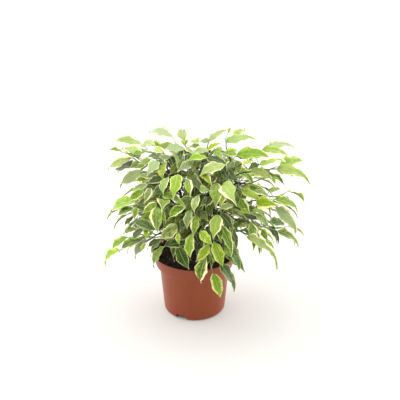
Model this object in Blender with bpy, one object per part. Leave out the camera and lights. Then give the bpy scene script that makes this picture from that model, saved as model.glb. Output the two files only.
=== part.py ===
"""Potted kinky weeping fig: a small variegated fig, five cuttings in one plastic nursery pot.

Metres, +Z up. The origin is the middle of the pot's foot, on the surface that it stands on, and the
plant is looked at from -Y, with +X on the right.
"""
import itertools
import math
import random

import bpy
from mathutils import Vector
from mathutils.bvhtree import BVHTree

GAP = 0.0003

# The pot, a 12 cm nursery pot
POT_HEIGHT = 0.0935
RIM_RADIUS = 0.0600
BAND_HEIGHT = 0.0205
BAND_LOW_RADIUS = 0.0546
WALL_TOP_RADIUS = 0.0495
FOOT_RADIUS = 0.0436
WALL = 0.0014
CORNER = 0.0050
FOOT_RING_WIDTH = 0.0040
FOOT_DISC_RADIUS = 0.0120
FLOOR_UNDERSIDE = 0.0076
FOOT_DRAFT = 0.001
LEDGE = 0.0004
POT_SIDES = 36
DRAIN_HOLES = 6
DRAIN_HOLE_RADIUS = 0.0035
DRAIN_CIRCLE = 0.0250
DRAIN_HOLE_SIDES = 8
DRAIN_TURN = 0.41
NOTCHES = 3
NOTCH_WIDTH = 0.0165
NOTCH_HEIGHT = 0.0073
NOTCH_DRAFT = 0.92
CUT_PAST = 0.001
NOTCH_ANGLE = math.radians(-116)
FOOT = FOOT_RADIUS - 0.7 * CORNER
FLOOR = FLOOR_UNDERSIDE + WALL
INSIDE_CORNER = FLOOR + 0.0012
BAND_LOW = POT_HEIGHT - BAND_HEIGHT
SHELF = BAND_LOW + WALL

# The soil and the holes that the stems stand in
SOIL_TOP = 0.0820
SOIL_SIDES = 20
SOIL_ROUGHNESS = 0.0016
SOIL_SLACK = 0.0006
SOIL_RINGS = (0.044, 0.034, 0.024, 0.013, 0.0)
SOIL_EDGE_DROP = 0.0012
STEM_DEPTH = 0.0250
STEM_SIDES = 6
STEM_CLEARANCE = 0.0004
STEM_RADIUS = 0.0029
STEM_TIP_RADIUS = 0.0015
STEM_NECK = 0.004
STEM_SWAY = Vector((0.0008, -0.0008, 0.0))

# Each cutting: where it stands in the soil, then the points that its stem bends through
STEMS = {
    "leafy_stem_left": [(-0.018, 0.003), (-0.021, -0.002, 0.130), (-0.018, -0.008, 0.180),
                        (-0.027, -0.010, 0.212)],
    "leafy_stem_right": [(0.022, -0.002), (0.029, -0.006, 0.130), (0.040, -0.008, 0.172),
                         (0.048, -0.006, 0.205)],
    "leafy_stem_front": [(0.004, -0.024), (0.006, -0.034, 0.118), (0.010, -0.042, 0.150),
                         (0.016, -0.046, 0.178)],
    "leafy_stem_middle": [(0.001, 0.010), (0.000, 0.008, 0.135), (0.002, 0.004, 0.190),
                          (0.004, 0.002, 0.232)],
    "leafy_stem_back": [(0.004, 0.032), (0.006, 0.040, 0.130), (0.012, 0.048, 0.175),
                        (0.016, 0.050, 0.208)],
}

# The crown: an ellipsoid that the outermost leaves lie on
CROWN_MIDDLE = Vector((0.017, 0.0, 0.150))
CROWN_REACH = Vector((0.143, 0.125, 0.118))
POT_CLEARANCE = 0.0690
RIM_CLEARANCE = 0.0990
CROWN_NEAREST = 0.170
CROWN_STEP = 0.002
CROWN_STEPS = 160

# The eye that the front sprays were laid out from, and the picture that it saw them in
VIEW_PITCH = math.radians(27.4)
VIEW_DISTANCE = 1.498
VIEW_FOCAL = 1062.0
PICTURE_MIDDLE = 200.0
RIM_IN_PICTURE = (194.5, 248.9)

# Leaves: the letter gives a leaf's age and place. G is grown, P grown and pale, Y young, S shaded
# behind the others. A young leaf is still folded more along its rib.
LEAF_FOLD = {"G": math.radians(14), "P": math.radians(12), "Y": math.radians(22), "S": math.radians(10)}
LEAF_THICKNESS = 0.0012
LEAF_ARCH = 0.10
LEAF_WAVE = 0.035
WAVE_RATE = 7.5
WAVE_STARTS = (3.6, 1.5)
LEAF_SLENDERNESS = 2.35
LONGEST_LEAF = 0.058
PETIOLE_RADIUS = 0.0006
FORESHORTENED = 0.8
LONG_LEAF_DEPTH = 0.3
ROLL_SHARE = 0.85
FACING_OUT = 0.4
FACING_UP = 0.6
SHADE_DEPTH = 0.010
BASE_DEPTH = 0.006
PETIOLE_REACH = 0.010
TWIG_HEART = (0.008, 0.105, 0.45)
FRONT_SHIFTS = (0.0, -0.003, 0.003, -0.006, 0.006, 0.009, -0.009, 0.012, -0.013, 0.016, 0.020)
FRONT_FITS = ((1.0, 0.0), (0.94, 0.25), (0.94, -0.25), (0.86, 0.0), (0.86, 0.45), (0.80, -0.45))
STEEPEST_STALK = 0.94
SHORTEST_STALK = 0.0045
LOWEST_TIP = 0.012

# How wide a leaf is along its length: the share of the length, then the share of the half width
BLADE = ((0.0, 0.09), (0.20, 0.86), (0.46, 1.0), (0.78, 0.40))
HIDDEN_BLADE = ((0.0, 0.09), (0.28, 0.98), (0.66, 0.72))

# Front sprays, by the cutting that they grow from. A spray is its leaves in order from the stem outwards.
# A leaf is where its blade starts, where its tip is and how wide it looks, in points of the picture.
FRONT_SPRAYS = {
    "leafy_stem_left": {
        "upper left": [(164, 162.5, 163.5, 183, 8, "Y"), (157, 161, 146.5, 177, 11, "P"),
                       (150, 160, 138, 164, 6, "S"), (149, 156, 164, 162, 5.5, "S"),
                       (154, 146, 141, 146, 5, "G"), (147, 151, 134, 155, 6, "G"),
                       (142, 144.5, 110, 142, 7, "P"), (139, 149, 130, 147, 5, "Y"),
                       (138, 150, 131, 153, 4, "Y")],
        "far left": [(145, 164, 135, 169, 5, "G"), (138, 162, 128, 169, 8, "G"),
                     (139, 158, 121, 148, 6, "G"), (138, 159, 125, 153, 7, "Y"),
                     (134, 168, 117, 170.5, 5, "S"), (132, 158.5, 107, 169, 7, "P"),
                     (122, 152, 107, 151, 3, "Y")],
        "left": [(163, 178, 146.5, 184, 8, "S"), (146, 172.5, 132.5, 180, 5, "S"),
                 (141, 171, 119, 185, 11, "P")],
        "left below": [(164, 187, 151, 197, 9, "S"), (159, 198, 148, 201.5, 4, "S"),
                       (150.5, 188, 143.5, 204, 8, "G"), (148, 185, 131, 194, 6, "G"),
                       (144, 190, 128, 202, 8.5, "G")],
        "left hanging": [(156.5, 202.5, 141.5, 214, 8, "G"), (136, 207, 134.5, 221, 6.5, "Y"),
                         (136, 202, 109, 213.5, 7, "P"), (133.5, 209, 116, 217.5, 6.5, "G"),
                         (134, 217, 123.5, 226.5, 4, "S"), (121, 207, 108, 213, 5, "Y")],
        "low left": [(156, 207, 158, 234.5, 13, "G"), (153, 230, 131, 222, 9.5, "G"),
                     (153, 231, 147, 236.5, 4, "Y"), (146, 229, 146, 239.5, 6, "Y"),
                     (144, 228.5, 131, 240, 6, "S")],
        "lowest left": [(161, 240, 146.5, 249, 4, "S"), (147, 240, 134.5, 259, 5, "P"),
                        (146, 243, 141, 252.5, 4, "Y"), (142, 240.5, 118, 252, 7, "G"),
                        (120, 250.5, 104.3, 265, 4, "Y")],
        "front left": [(184.5, 206, 167.5, 220.5, 8.5, "G"), (163, 195, 186, 207, 7, "G"),
                       (163, 199, 162, 212, 13.5, "G"), (163, 211, 166.5, 223.5, 5, "Y")],
        "middle left": [(187.5, 180, 190.5, 197.5, 9, "G"), (177.5, 174.5, 173, 200, 12.5, "G"),
                        (172, 184.5, 173.5, 196, 5, "Y"), (168, 177, 163.5, 197, 7, "G")],
    },
    "leafy_stem_middle": {
        "top": [(192, 172, 186, 180, 6, "S"), (192, 161, 176, 172, 9, "G"),
                (181.5, 150, 182, 163, 7, "S"), (185, 150, 161, 151, 6, "G"),
                (186, 148, 193, 153, 5, "G"), (184, 145, 188, 139, 4, "Y"),
                (184, 145, 181, 140, 4, "Y"), (184, 141, 183.5, 129, 13, "G")],
        "top left": [(171, 151, 178, 168, 7, "G"), (171, 143.5, 156, 147, 7, "G"),
                     (172.5, 137, 148, 131.5, 9.5, "P")],
        "top right": [(193, 169, 198, 177, 5, "S"), (207.5, 158, 185, 163, 6, "Y"),
                      (207, 158, 229, 167, 7, "S"), (209, 150, 190, 155, 6, "G"),
                      (208, 150, 222, 143.5, 5, "Y"), (215, 151, 223, 148, 5, "G"),
                      (209, 139.5, 198, 142.5, 6, "P"), (209, 141.5, 228, 129.5, 7, "G")],
        "upper middle": [(201, 174, 212.5, 187, 8, "Y"), (214, 169, 203, 176, 7, "S"),
                         (216, 168, 220, 182, 8, "S"), (221, 167, 240.5, 181.5, 12, "S"),
                         (225, 164, 196.5, 178.5, 9, "P")],
    },
    "leafy_stem_front": {
        "front middle": [(190.5, 210, 187, 231, 8, "G"), (196, 215.5, 193, 237, 9.5, "G"),
                         (185, 219, 180, 232, 8, "S"), (192, 234, 190.5, 260.5, 10, "Y")],
        "front hanging": [(218, 215, 213, 240, 13, "P"), (219, 228.5, 221.5, 242, 8.5, "G"),
                          (200, 231, 213.5, 246, 10, "Y"), (214, 242, 223, 268, 12.5, "Y"),
                          (209.5, 245, 195, 262.5, 10, "Y"), (211, 247, 213, 262, 6, "G"),
                          (206, 257, 200.5, 284, 11.5, "G"), (213, 273, 220.5, 298, 12.5, "Y")],
        "front right": [(224, 224, 237, 250, 8, "S"), (220.5, 226, 232, 257, 9, "G"),
                        (229, 245, 240, 270.5, 9, "G"), (225, 247, 231.5, 257.5, 6, "G"),
                        (220, 264, 235.3, 292, 8, "G")],
        "over the rim": [(177, 225, 158, 239, 12.5, "G"), (178, 232, 179.5, 246, 5, "Y"),
                         (186, 243.5, 163, 247.5, 8.5, "S"), (178, 247, 189.5, 270, 12.5, "S"),
                         (164, 247, 153, 268, 5, "P")],
        "middle": [(201, 213, 209, 222, 8, "S"), (209, 199, 200, 207, 8, "S"),
                   (198, 195, 194, 215, 7, "G"), (200, 187.5, 211, 190.5, 7.5, "G"),
                   (216, 183.5, 216, 209.5, 13, "G"), (224, 194, 219, 207.5, 7, "Y")],
        "middle right": [(221, 214, 233.5, 230, 10, "S"), (233, 205, 217, 211.5, 6, "P"),
                         (233, 206, 246.5, 211.5, 6, "S"), (242, 209.5, 249.5, 214.5, 5, "Y")],
    },
    "leafy_stem_right": {
        "right of middle": [(223, 184, 236.5, 205.5, 16, "P"), (231, 193, 228, 205, 10, "S"),
                            (240, 199, 251, 215, 10, "G"), (242, 191, 261.5, 202.5, 8, "G"),
                            (254, 191, 270, 197.5, 5, "G")],
        "right": [(244, 215, 262, 221, 6, "S"), (256, 214, 269, 227.5, 7, "G"),
                  (262, 212, 250, 213.5, 4, "G"), (257, 204, 281, 206, 14, "Y"),
                  (275, 199, 298, 210, 7, "G"), (276, 208, 297, 233.5, 10.5, "P")],
        "right hanging": [(235, 223, 238, 231, 5, "S"), (241, 224, 246, 228, 4, "G"),
                          (250.5, 223, 254, 251, 9, "G"), (262, 230.5, 269, 242, 8, "G"),
                          (269.5, 226.5, 279, 244, 5, "S"), (277.5, 231, 299.5, 246.5, 7, "G")],
        "lowest right": [(247, 236.5, 281, 270, 10, "P"), (265, 240, 274, 249.5, 4, "Y")],
        "upper right": [(236, 153, 220, 154, 9, "Y"), (237, 154.5, 270, 156.5, 12, "Y"),
                        (226, 142, 256, 138.3, 7, "P"), (236, 137, 246, 131.5, 4, "Y"),
                        (228, 133, 231.5, 128, 4, "Y")],
        "far upper right": [(238, 161, 235, 169, 5, "S"), (252, 160, 240.5, 169, 5, "G"),
                            (258, 164, 247, 170.5, 7, "S"), (259.5, 165, 286, 160.5, 6, "G"),
                            (262, 150, 289, 156, 8, "G"), (268, 147.5, 296, 148, 6, "P")],
        "right arch": [(251, 170.5, 273, 180, 9, "G"), (277, 170, 293.5, 176.5, 7, "Y"),
                       (277, 168.5, 311, 183, 8, "P"), (280, 166.5, 304, 162, 10, "Y")],
        "under the arch": [(249, 187, 268, 199, 9, "S"), (272, 178, 276, 185, 4, "Y"),
                           (273, 177, 280, 180, 3, "Y")],
    },
}

# Sprays that the front hides: round the sides and back, then a few inside the crown
BACK_SPRAYS = 40
BACK_LEAVES = 6
BACK_SCALE = 0.76
INNER_SPRAYS = 26
INNER_LEAVES = 4
INNER_SCALE = 0.56
FRONT_FACING = 0.02
LOWEST_SPRAY = -0.42
LEAF_LENGTHS = (0.030, 0.043)
TWIG_RADIUS = 0.0013
TWIG_TIP_RADIUS = 0.0008
TWIG_SIDES = 3
NODE_HALF = 0.0010
NODE_SPACING = 0.0050
NODES_TRIED = 5
TWIG_EVENINGS = (2, 4, 8, 16)
EVENED_SHARE = 0.6
TWIG_RISE = 0.55
TWIG_ARCH = 0.10
TWIG_BENDS = (0.004, 0.008, 0.012, 0.016)
TWIG_BEND_TURNS = 8
LOWEST_FORK = 0.022
FORK_BELOW_TIP = 0.002
BUD_LENGTH = 0.0015

# The hidden sprays' rule: how they arch and kink, and how their leaves are held
HIDDEN_CLEARANCE = 0.012
HIDDEN_BARE = 0.42
HIDDEN_ARCH = 0.55
HIDDEN_KINK = 0.0026
HIDDEN_TRIES = 9
HIDDEN_SPREAD = (0.55, 1.1)
HIDDEN_REACH = (0.5, 0.9)
HIDDEN_DROOP = (0.25, 0.75)
HIDDEN_STALK = (0.007, 0.011)
HIDDEN_LIFT = 0.9
HIDDEN_TURN = 0.5
END_SPREAD = 0.15
DROOP_STEP = 0.04
YOUNG_SHARE = 0.55

SHED_MARGIN = 0.0009
GUARD_MARGIN = 0.002
GUARD_SIDES = 24
GROWTH_SEED = 41


def picture_axes():
    """The picture's directions: ahead, up and right."""
    ahead = Vector((0.0, math.cos(VIEW_PITCH), -math.sin(VIEW_PITCH)))
    up = Vector((0.0, math.sin(VIEW_PITCH), math.cos(VIEW_PITCH)))
    return ahead, up, Vector((1.0, 0.0, 0.0))


def line_of_sight(x, y):
    """The direction from the eye to a point of the picture, one metre ahead."""
    ahead, up, right = picture_axes()
    return ahead + right * ((x - PICTURE_MIDDLE) / VIEW_FOCAL) - up * ((y - PICTURE_MIDDLE) / VIEW_FOCAL)


EYE = Vector((0.0, 0.0, POT_HEIGHT)) - line_of_sight(*RIM_IN_PICTURE) * VIEW_DISTANCE


def sighted(x, y, depth):
    """The place that is depth metres ahead of the eye at a point of the picture."""
    return EYE + line_of_sight(x, y) * depth


def crown_value(place):
    """Below 1 inside the crown or too near the pot, and above 1 outside."""
    if place.z < RIM_CLEARANCE and math.hypot(place.x, place.y) < POT_CLEARANCE:
        return 0.0
    offset = place - CROWN_MIDDLE
    return sum((offset[i] / CROWN_REACH[i]) ** 2 for i in range(3))


def crown_depth(x, y):
    """How far ahead of the eye the crown's front, or else its edge, lies at a point of the picture."""
    nearest, nearest_value = VIEW_DISTANCE, 1e9
    for step in range(CROWN_STEPS):
        depth = VIEW_DISTANCE - CROWN_NEAREST + step * CROWN_STEP
        value = crown_value(sighted(x, y, depth))
        if value <= 1.0:
            return depth
        if value < nearest_value:
            nearest, nearest_value = depth, value
    return nearest


def across(direction, wanted):
    """The part of wanted that is square to direction, as a unit vector."""
    square = wanted - direction * wanted.dot(direction)
    if square.length < 1e-6:
        square = direction.orthogonal()
    return square.normalized()


def outward_from_crown(place):
    """The way out of the crown at a place, with some of the way up."""
    out = Vector(((place.x - CROWN_MIDDLE.x), place.y, place.z - CROWN_MIDDLE.z))
    return out.normalized() if out.length > 1e-6 else Vector((0.0, 0.0, 1.0))


class Leaf:
    """One leaf: the node it grows from, where its blade starts and ends, and which way it faces."""

    def __init__(self, node, base, tip, width, normal, age, outline=BLADE):
        self.node = node
        self.base = base
        self.tip = tip
        self.width = width
        self.age = age
        self.outline = outline
        self.along = (tip - base).normalized()
        self.normal = across(self.along, normal)
        self.side = self.normal.cross(self.along)
        self.length = (tip - base).length

    def place(self, share, reach):
        """A place on the blade: share runs from stalk to tip, reach from the rib to the two edges."""
        half = abs(reach) * self.width / 2
        fold = LEAF_FOLD[self.age]
        wave = LEAF_WAVE * self.length * math.sin(WAVE_RATE * share + WAVE_STARTS[reach > 0]) * abs(reach)
        lift = LEAF_ARCH * 4 * share * (1 - share) * self.length + half * math.sin(fold) + wave
        sideways = math.copysign(half * math.cos(fold), reach)
        return self.base + self.along * (share * self.length) + self.side * sideways + self.normal * lift

    def rings(self, margin=0.0):
        """The blade's outline in rings of four: an edge, the rib on top, the other edge, the rib below."""
        thick = LEAF_THICKNESS / 2 + margin
        slimmest = PETIOLE_RADIUS / (self.width / 2)
        made = []
        for share, reach in self.outline:
            middle = self.place(share, 0.0)
            half = max(reach, slimmest) + margin / (self.width / 2)
            made.append([self.place(share, half), middle + self.normal * thick,
                         self.place(share, -half), middle - self.normal * thick])
        turning = ((self.base - self.node).normalized() + self.along).normalized()
        neck_side = across(turning, self.side) * (PETIOLE_RADIUS + margin)
        neck_up = turning.cross(neck_side)
        made[0] = [self.base + neck_side, self.base + neck_up, self.base - neck_side, self.base - neck_up]
        return made

    def solid(self, margin=0.0):
        """The stalk and blade as a closed body of their own, thicker by margin."""
        stalk = (self.base - self.node).normalized()
        stalk_side = across(stalk, self.side)
        stalk_up = stalk.cross(stalk_side)
        radius = PETIOLE_RADIUS + margin
        root = self.node
        rings = [[root + stalk_side * radius, root + stalk_up * radius,
                  root - stalk_side * radius, root - stalk_up * radius]] + self.rings(margin)
        points = [point for ring in rings for point in ring] + [self.tip + self.along * margin]
        return points, [(0, 2, 1), (0, 3, 2)] + blade_faces(0, len(rings))


def blade_faces(low, count):
    """The triangles of a leaf of so many rings of four and a tip, each half split alike above and below."""
    faces = []
    for _ in range(count - 1):
        for corner in range(4):
            a, b = low + corner, low + (corner + 1) % 4
            from_edge = corner % 2 == 0
            faces += [(a, b, b + 4), (a, b + 4, a + 4)] if from_edge else [(a, b, a + 4), (b, b + 4, a + 4)]
        low += 4
    return faces + [(low + corner, low + (corner + 1) % 4, low + 4) for corner in range(4)]


class Spray:
    """One twig of a cutting: the places that it runs through, and the leaves at those that bear one."""

    def __init__(self, stem, path, spares=()):
        self.stem = stem
        self.path = path
        self.runs = [direction(path, index) for index in range(len(path))]
        self.spares = set(spares)
        self.leaves = {}

    def without_spares(self):
        """This spray less the spare places, halfway along straight runs, that no leaf has grown from."""
        kept = [index for index in range(len(self.path)) if index in self.leaves or index not in self.spares]
        trimmed = Spray(self.stem, [self.path[index] for index in kept])
        trimmed.runs = [self.runs[index] for index in kept]
        trimmed.leaves = {kept.index(index): leaf for index, leaf in self.leaves.items()}
        return self if crosses_itself(*trimmed.body()) else trimmed

    def body(self):
        """The twig and its leaves as one closed body: each leaf is drawn out of a side of the twig."""
        points, faces, rings, stalks = [], [], [], []
        reference, phase = Vector((1.0, 0.0, 0.0)), 0.0
        third = 2 * math.pi / TWIG_SIDES
        for index, (place, run, radius) in enumerate(zip(self.path, self.runs, twig_radii(self.path))):
            reference = across(run, reference)
            other = run.cross(reference)
            leaf = self.leaves.get(index)
            if leaf:
                stalk = leaf.base - place
                wanted = math.atan2(stalk.dot(other), stalk.dot(reference)) - third / 2
                turns = round((wanted - phase) / third)
                phase = wanted - turns * third
                stalks.append((len(rings), turns % TWIG_SIDES, leaf))
            for offset in ((-NODE_HALF, NODE_HALF) if leaf else (0.0,)):
                rings.append(len(points))
                for corner in range(TWIG_SIDES):
                    angle = phase + third * corner
                    spoke = reference * math.cos(angle) + other * math.sin(angle)
                    points.append(place + run * offset + spoke * radius)
        drawn_out = {(ring, side) for ring, side, _ in stalks}
        for ring in range(len(rings) - 1):
            for corner in range(TWIG_SIDES):
                a, b = rings[ring] + corner, rings[ring] + (corner + 1) % TWIG_SIDES
                if (ring, corner) not in drawn_out:
                    faces += [(a, b, b + TWIG_SIDES), (a, b + TWIG_SIDES, a + TWIG_SIDES)]
        faces += [(0, 2, 1), (rings[-1], rings[-1] + 1, rings[-1] + 2)]
        for ring, side, leaf in stalks:
            a, b = rings[ring] + side, rings[ring] + (side + 1) % TWIG_SIDES
            opening = [a, b, b + TWIG_SIDES, a + TWIG_SIDES]
            first = len(points)
            blade = leaf.rings()
            points += [point for outline in blade for point in outline] + [leaf.tip]
            turn = min(range(4), key=lambda shift: sum(
                (points[opening[(corner + shift) % 4]] - blade[0][corner]).length for corner in range(4)))
            for corner in range(4):
                c, d = opening[(corner + turn) % 4], opening[(corner + 1 + turn) % 4]
                e, f = first + (corner + 1) % 4, first + corner
                faces += [(c, d, e), (c, e, f)]
            faces += blade_faces(first, len(blade))
        return points, faces


def direction(path, index):
    """The way that a path runs at one of its places."""
    return (path[min(index + 1, len(path) - 1)] - path[max(index - 1, 0)]).normalized()


def tube(path, radii, sides):
    """A closed run of wood through the places of a path, as triangles."""
    points, faces = [], []
    reference = Vector((1.0, 0.0, 0.0))
    for index, place in enumerate(path):
        run = direction(path, index)
        reference = across(run, reference)
        other = run.cross(reference)
        for corner in range(sides):
            angle = 2 * math.pi * corner / sides
            points.append(place + (reference * math.cos(angle) + other * math.sin(angle)) * radii[index])
    for ring in range(len(path) - 1):
        for corner in range(sides):
            a, b = ring * sides + corner, ring * sides + (corner + 1) % sides
            faces += [(a, b, b + sides), (a, b + sides, a + sides)]
    last = (len(path) - 1) * sides
    for corner in range(1, sides - 1):
        faces += [(0, corner + 1, corner), (last, last + corner, last + corner + 1)]
    return points, faces


class Thicket:
    """The bodies that have grown so far, kept so that a new one can be grown clear of them."""

    def __init__(self):
        self.grown = []

    def add(self, owner, points, faces):
        """Keep a body, under the stem, spray or leaf that it is."""
        self.grown.append((owner, reach_of(points), BVHTree.FromPolygons(points, faces)))

    def add_twig(self, spray):
        """Keep a spray's twig, a little thicker than it is."""
        radii = [radius + SHED_MARGIN for radius in twig_radii(spray.path)]
        self.add(spray, *tube(spray.path, radii, TWIG_SIDES))

    def touches(self, points, faces, allowed):
        """Whether a body crosses one whose owner isn't allowed."""
        box = reach_of(points)
        tree = None
        for owner, other, other_tree in self.grown:
            if any(box[i][0] > other[i][1] or other[i][0] > box[i][1] for i in range(3)):
                continue
            if allowed(owner):
                continue
            tree = tree or BVHTree.FromPolygons(points, faces)
            if tree.overlap(other_tree):
                return True
        return False

    def has_room(self, leaf, spray, index):
        """Whether a leaf is clear of everything, and grows from its own twig without a fold."""
        stalk = leaf.base - leaf.node
        steepness = abs(stalk.normalized().dot(spray.runs[index]))
        if steepness > STEEPEST_STALK or stalk.length < SHORTEST_STALK:
            return False
        if self.touches(*leaf.solid(SHED_MARGIN), lambda owner: owner is spray):
            return False
        with_leaf = Spray(spray.stem, spray.path)
        with_leaf.leaves = {**spray.leaves, index: leaf}
        return not crosses_itself(*with_leaf.body())


def crosses_itself(points, faces):
    """Whether two faces of a body cross that share no corner."""
    tree = BVHTree.FromPolygons(points, faces)
    return any(a < b and not set(faces[a]) & set(faces[b]) for a, b in tree.overlap(tree))


def reach_of(points):
    """The lowest and highest of some points along each axis."""
    return [(min(point[i] for point in points), max(point[i] for point in points)) for i in range(3)]


def stem_path(name):
    """The places that a stem runs through, straight in the soil and curved above it."""
    (x, y), *bends = STEMS[name]
    path = [Vector((x, y, SOIL_TOP - STEM_DEPTH + GAP)), Vector((x, y, SOIL_TOP + STEM_NECK))]
    knots = [path[1]] + [Vector(bend) for bend in bends]
    for index in range(1, len(knots)):
        path.append((knots[index - 1] + knots[index]) / 2 + STEM_SWAY)
        path.append(knots[index])
    return path


def stem_radii(path):
    """A stem's radius at each place of its path."""
    top = path[-1].z
    share = [max(0.0, (place.z - SOIL_TOP) / (top - SOIL_TOP)) for place in path]
    return [STEM_RADIUS + (STEM_TIP_RADIUS - STEM_RADIUS) * value for value in share]


def stem_place(path, height):
    """The middle of a stem at a height."""
    for low, high in zip(path[1:], path[2:]):
        if height <= high.z:
            return low.lerp(high, max(0.0, (height - low.z) / (high.z - low.z)))
    return path[-1].copy()


def twig_start(path, first):
    """Where a twig that reaches for a place leaves its stem: lower down, as the place is further out."""
    level = Vector((first.x - path[-1].x, first.y - path[-1].y)).length
    height = first.z - TWIG_RISE * level
    return stem_place(path, min(max(height, SOIL_TOP + LOWEST_FORK), path[-1].z - FORK_BELOW_TIP))


def twig_path(start, nodes):
    """A twig from its stem through its nodes, rising to the first in a low arch, with a bud at its end."""
    arch = start.lerp(nodes[0], 0.5) + Vector((0.0, 0.0, TWIG_ARCH * (nodes[0] - start).length))
    arch.z = max(arch.z, min(start.z, RIM_CLEARANCE + 0.003))
    return ended_in_bud([start, arch] + nodes)


def ended_in_bud(path):
    """A path with one more place, just past its last node."""
    return path + [path[-1] + (path[-1] - path[-2]).normalized() * BUD_LENGTH]


def twig_radii(path):
    """A twig's radius at each place of its path."""
    last = len(path) - 1
    return [TWIG_RADIUS + (TWIG_TIP_RADIUS - TWIG_RADIUS) * index / last for index in range(last + 1)]


def sighted_leaf(node, shape, deeper, size, turn):
    """A front leaf, from where it shows in the picture, moved away from the eye, resized and turned."""
    x, y, tip_x, tip_y, shown_width, age = shape
    base_depth = crown_depth(x, y) + BASE_DEPTH + deeper
    tip_depth = crown_depth(tip_x, tip_y) + deeper
    base = sighted(x, y, base_depth)
    scale = base_depth / VIEW_FOCAL
    shown_length = math.hypot(tip_x - x, tip_y - y) * scale
    width = shown_width * scale
    if width * LEAF_SLENDERNESS * FORESHORTENED > shown_length:
        turned = math.sqrt((width * LEAF_SLENDERNESS) ** 2 - shown_length ** 2)
        tip_depth = base_depth + (turned if tip_y < y else -turned)
    tip = sighted(tip_x, tip_y, tip_depth)
    if (tip - base).length > LONGEST_LEAF:
        tip = sighted(tip_x, tip_y, base_depth + (tip_depth - base_depth) * LONG_LEAF_DEPTH)
    tip = base.lerp(tip, size)
    true_width = max(width, (tip - base).length / LEAF_SLENDERNESS) * size
    along = (tip - base).normalized()
    facing = across(along, EYE - base)
    roll = math.acos(min(1.0, width / true_width)) * ROLL_SHARE + turn
    sideways = along.cross(facing)
    wanted = outward_from_crown(base) * FACING_OUT + Vector((0.0, 0.0, FACING_UP))
    choices = [facing * math.cos(roll) + sideways * math.sin(roll) * hand for hand in (1, -1)]
    normal = max(choices, key=lambda choice: choice.dot(wanted))
    return Leaf(node, base, tip, true_width, normal, age, HIDDEN_BLADE if age == "S" else BLADE)


def leaf_foot(shape):
    """Where a front leaf's petiole would meet its twig: a petiole's length into the crown."""
    x, y, _, _, _, age = shape
    base = sighted(x, y, crown_depth(x, y) + BASE_DEPTH + (SHADE_DEPTH if age == "S" else 0.0))
    heart = Vector((TWIG_HEART[0], 0.0, TWIG_HEART[1] + TWIG_HEART[2] * base.z))
    return base + (heart - base).normalized() * PETIOLE_REACH


def spray_nodes(path, shapes, rounds):
    """The start of a front spray's twig, its leaves in order outwards and the evened nodes for them."""
    start = twig_start(path, leaf_foot(shapes[0]))
    shapes = sorted(shapes, key=lambda shape: (leaf_foot(shape) - start).length)
    nodes = [leaf_foot(shape) for shape in shapes]
    for _ in range(rounds):
        before = [start.lerp(nodes[0], EVENED_SHARE)] + nodes[:-1]
        after = nodes[1:] + nodes[-1:]
        nodes = [node * EVENED_SHARE + (low + high) * ((1 - EVENED_SHARE) / 2)
                 for low, node, high in zip(before, nodes, after)]
    spread = []
    for node in nodes:
        last = spread[-1] if spread else start.lerp(node, 0.5)
        if (node - last).length < NODE_SPACING:
            way = (node - start).normalized()
            node = last + ((node - last).normalized() + way).normalized() * NODE_SPACING
        spread.append(node)
    return start, shapes, spread


def front_spray(stem, path, shapes, thicket):
    """A front spray with no leaves yet, its twig evened until it runs without a fold."""
    for rounds in TWIG_EVENINGS:
        start, shapes, nodes = spray_nodes(path, shapes, rounds)
        twig = clear_twig(twig_path(start, nodes), thicket, stem)
        if twig:
            spray = Spray(stem, *with_spares(twig))
            if not crosses_itself(*spray.body()):
                return spray, shapes
    return None, shapes


def grow_front(paths, thicket):
    """Grow the sprays that show from the front."""
    sprays, waiting = [], []
    for stem, listed in FRONT_SPRAYS.items():
        for shapes in listed.values():
            spray, shapes = front_spray(stem, paths[stem], shapes, thicket)
            if spray:
                sprays.append(spray)
                thicket.add_twig(spray)
                waiting += [(shape[5] == "S", spray, 3 + 2 * index, shape)
                            for index, shape in enumerate(shapes)]
    waiting.sort(key=lambda entry: entry[0])
    for shaded, spray, index, shape in waiting:
        free = [other for other in range(2, len(spray.path) - 1) if other not in spray.leaves]
        free = sorted(free, key=lambda other: abs(other - index))[:NODES_TRIED]
        for (size, turn), shift, at in itertools.product(FRONT_FITS, FRONT_SHIFTS, free):
            deeper = shift + (SHADE_DEPTH if shaded else 0.0)
            leaf = sighted_leaf(spray.path[at], shape, deeper, size, turn)
            if thicket.has_room(leaf, spray, at):
                spray.leaves[at] = leaf
                thicket.add(leaf, *leaf.solid())
                break
    return [spray.without_spares() for spray in sprays]


def with_spares(path):
    """A twig's path with a spare place before each node, and the indices of those places."""
    start, arch, *nodes, bud = path
    places = [start, arch]
    for node in nodes:
        places += [(places[-1] + node) / 2, node]
    return places + [bud], range(2, len(places), 2)


def clear_twig(path, thicket, stem):
    """A twig's path, bent clear of the other cuttings where it must be, or nothing where it can't be."""
    shifts = [Vector((0.0, 0.0, 0.0))]
    for reach, turn in itertools.product(TWIG_BENDS, range(TWIG_BEND_TURNS)):
        angle = turn * 2 * math.pi / TWIG_BEND_TURNS
        shifts.append(Vector((math.cos(angle) * reach, 0.0, math.sin(angle) * reach)))
    for shift in shifts:
        bent = [path[0], path[1] + shift] + [place + shift * 0.5 for place in path[2:]]
        body = tube(bent, [radius + SHED_MARGIN for radius in twig_radii(bent)], TWIG_SIDES)
        if not thicket.touches(*body, lambda owner: getattr(owner, "stem", owner) == stem):
            return bent
    return None


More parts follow.
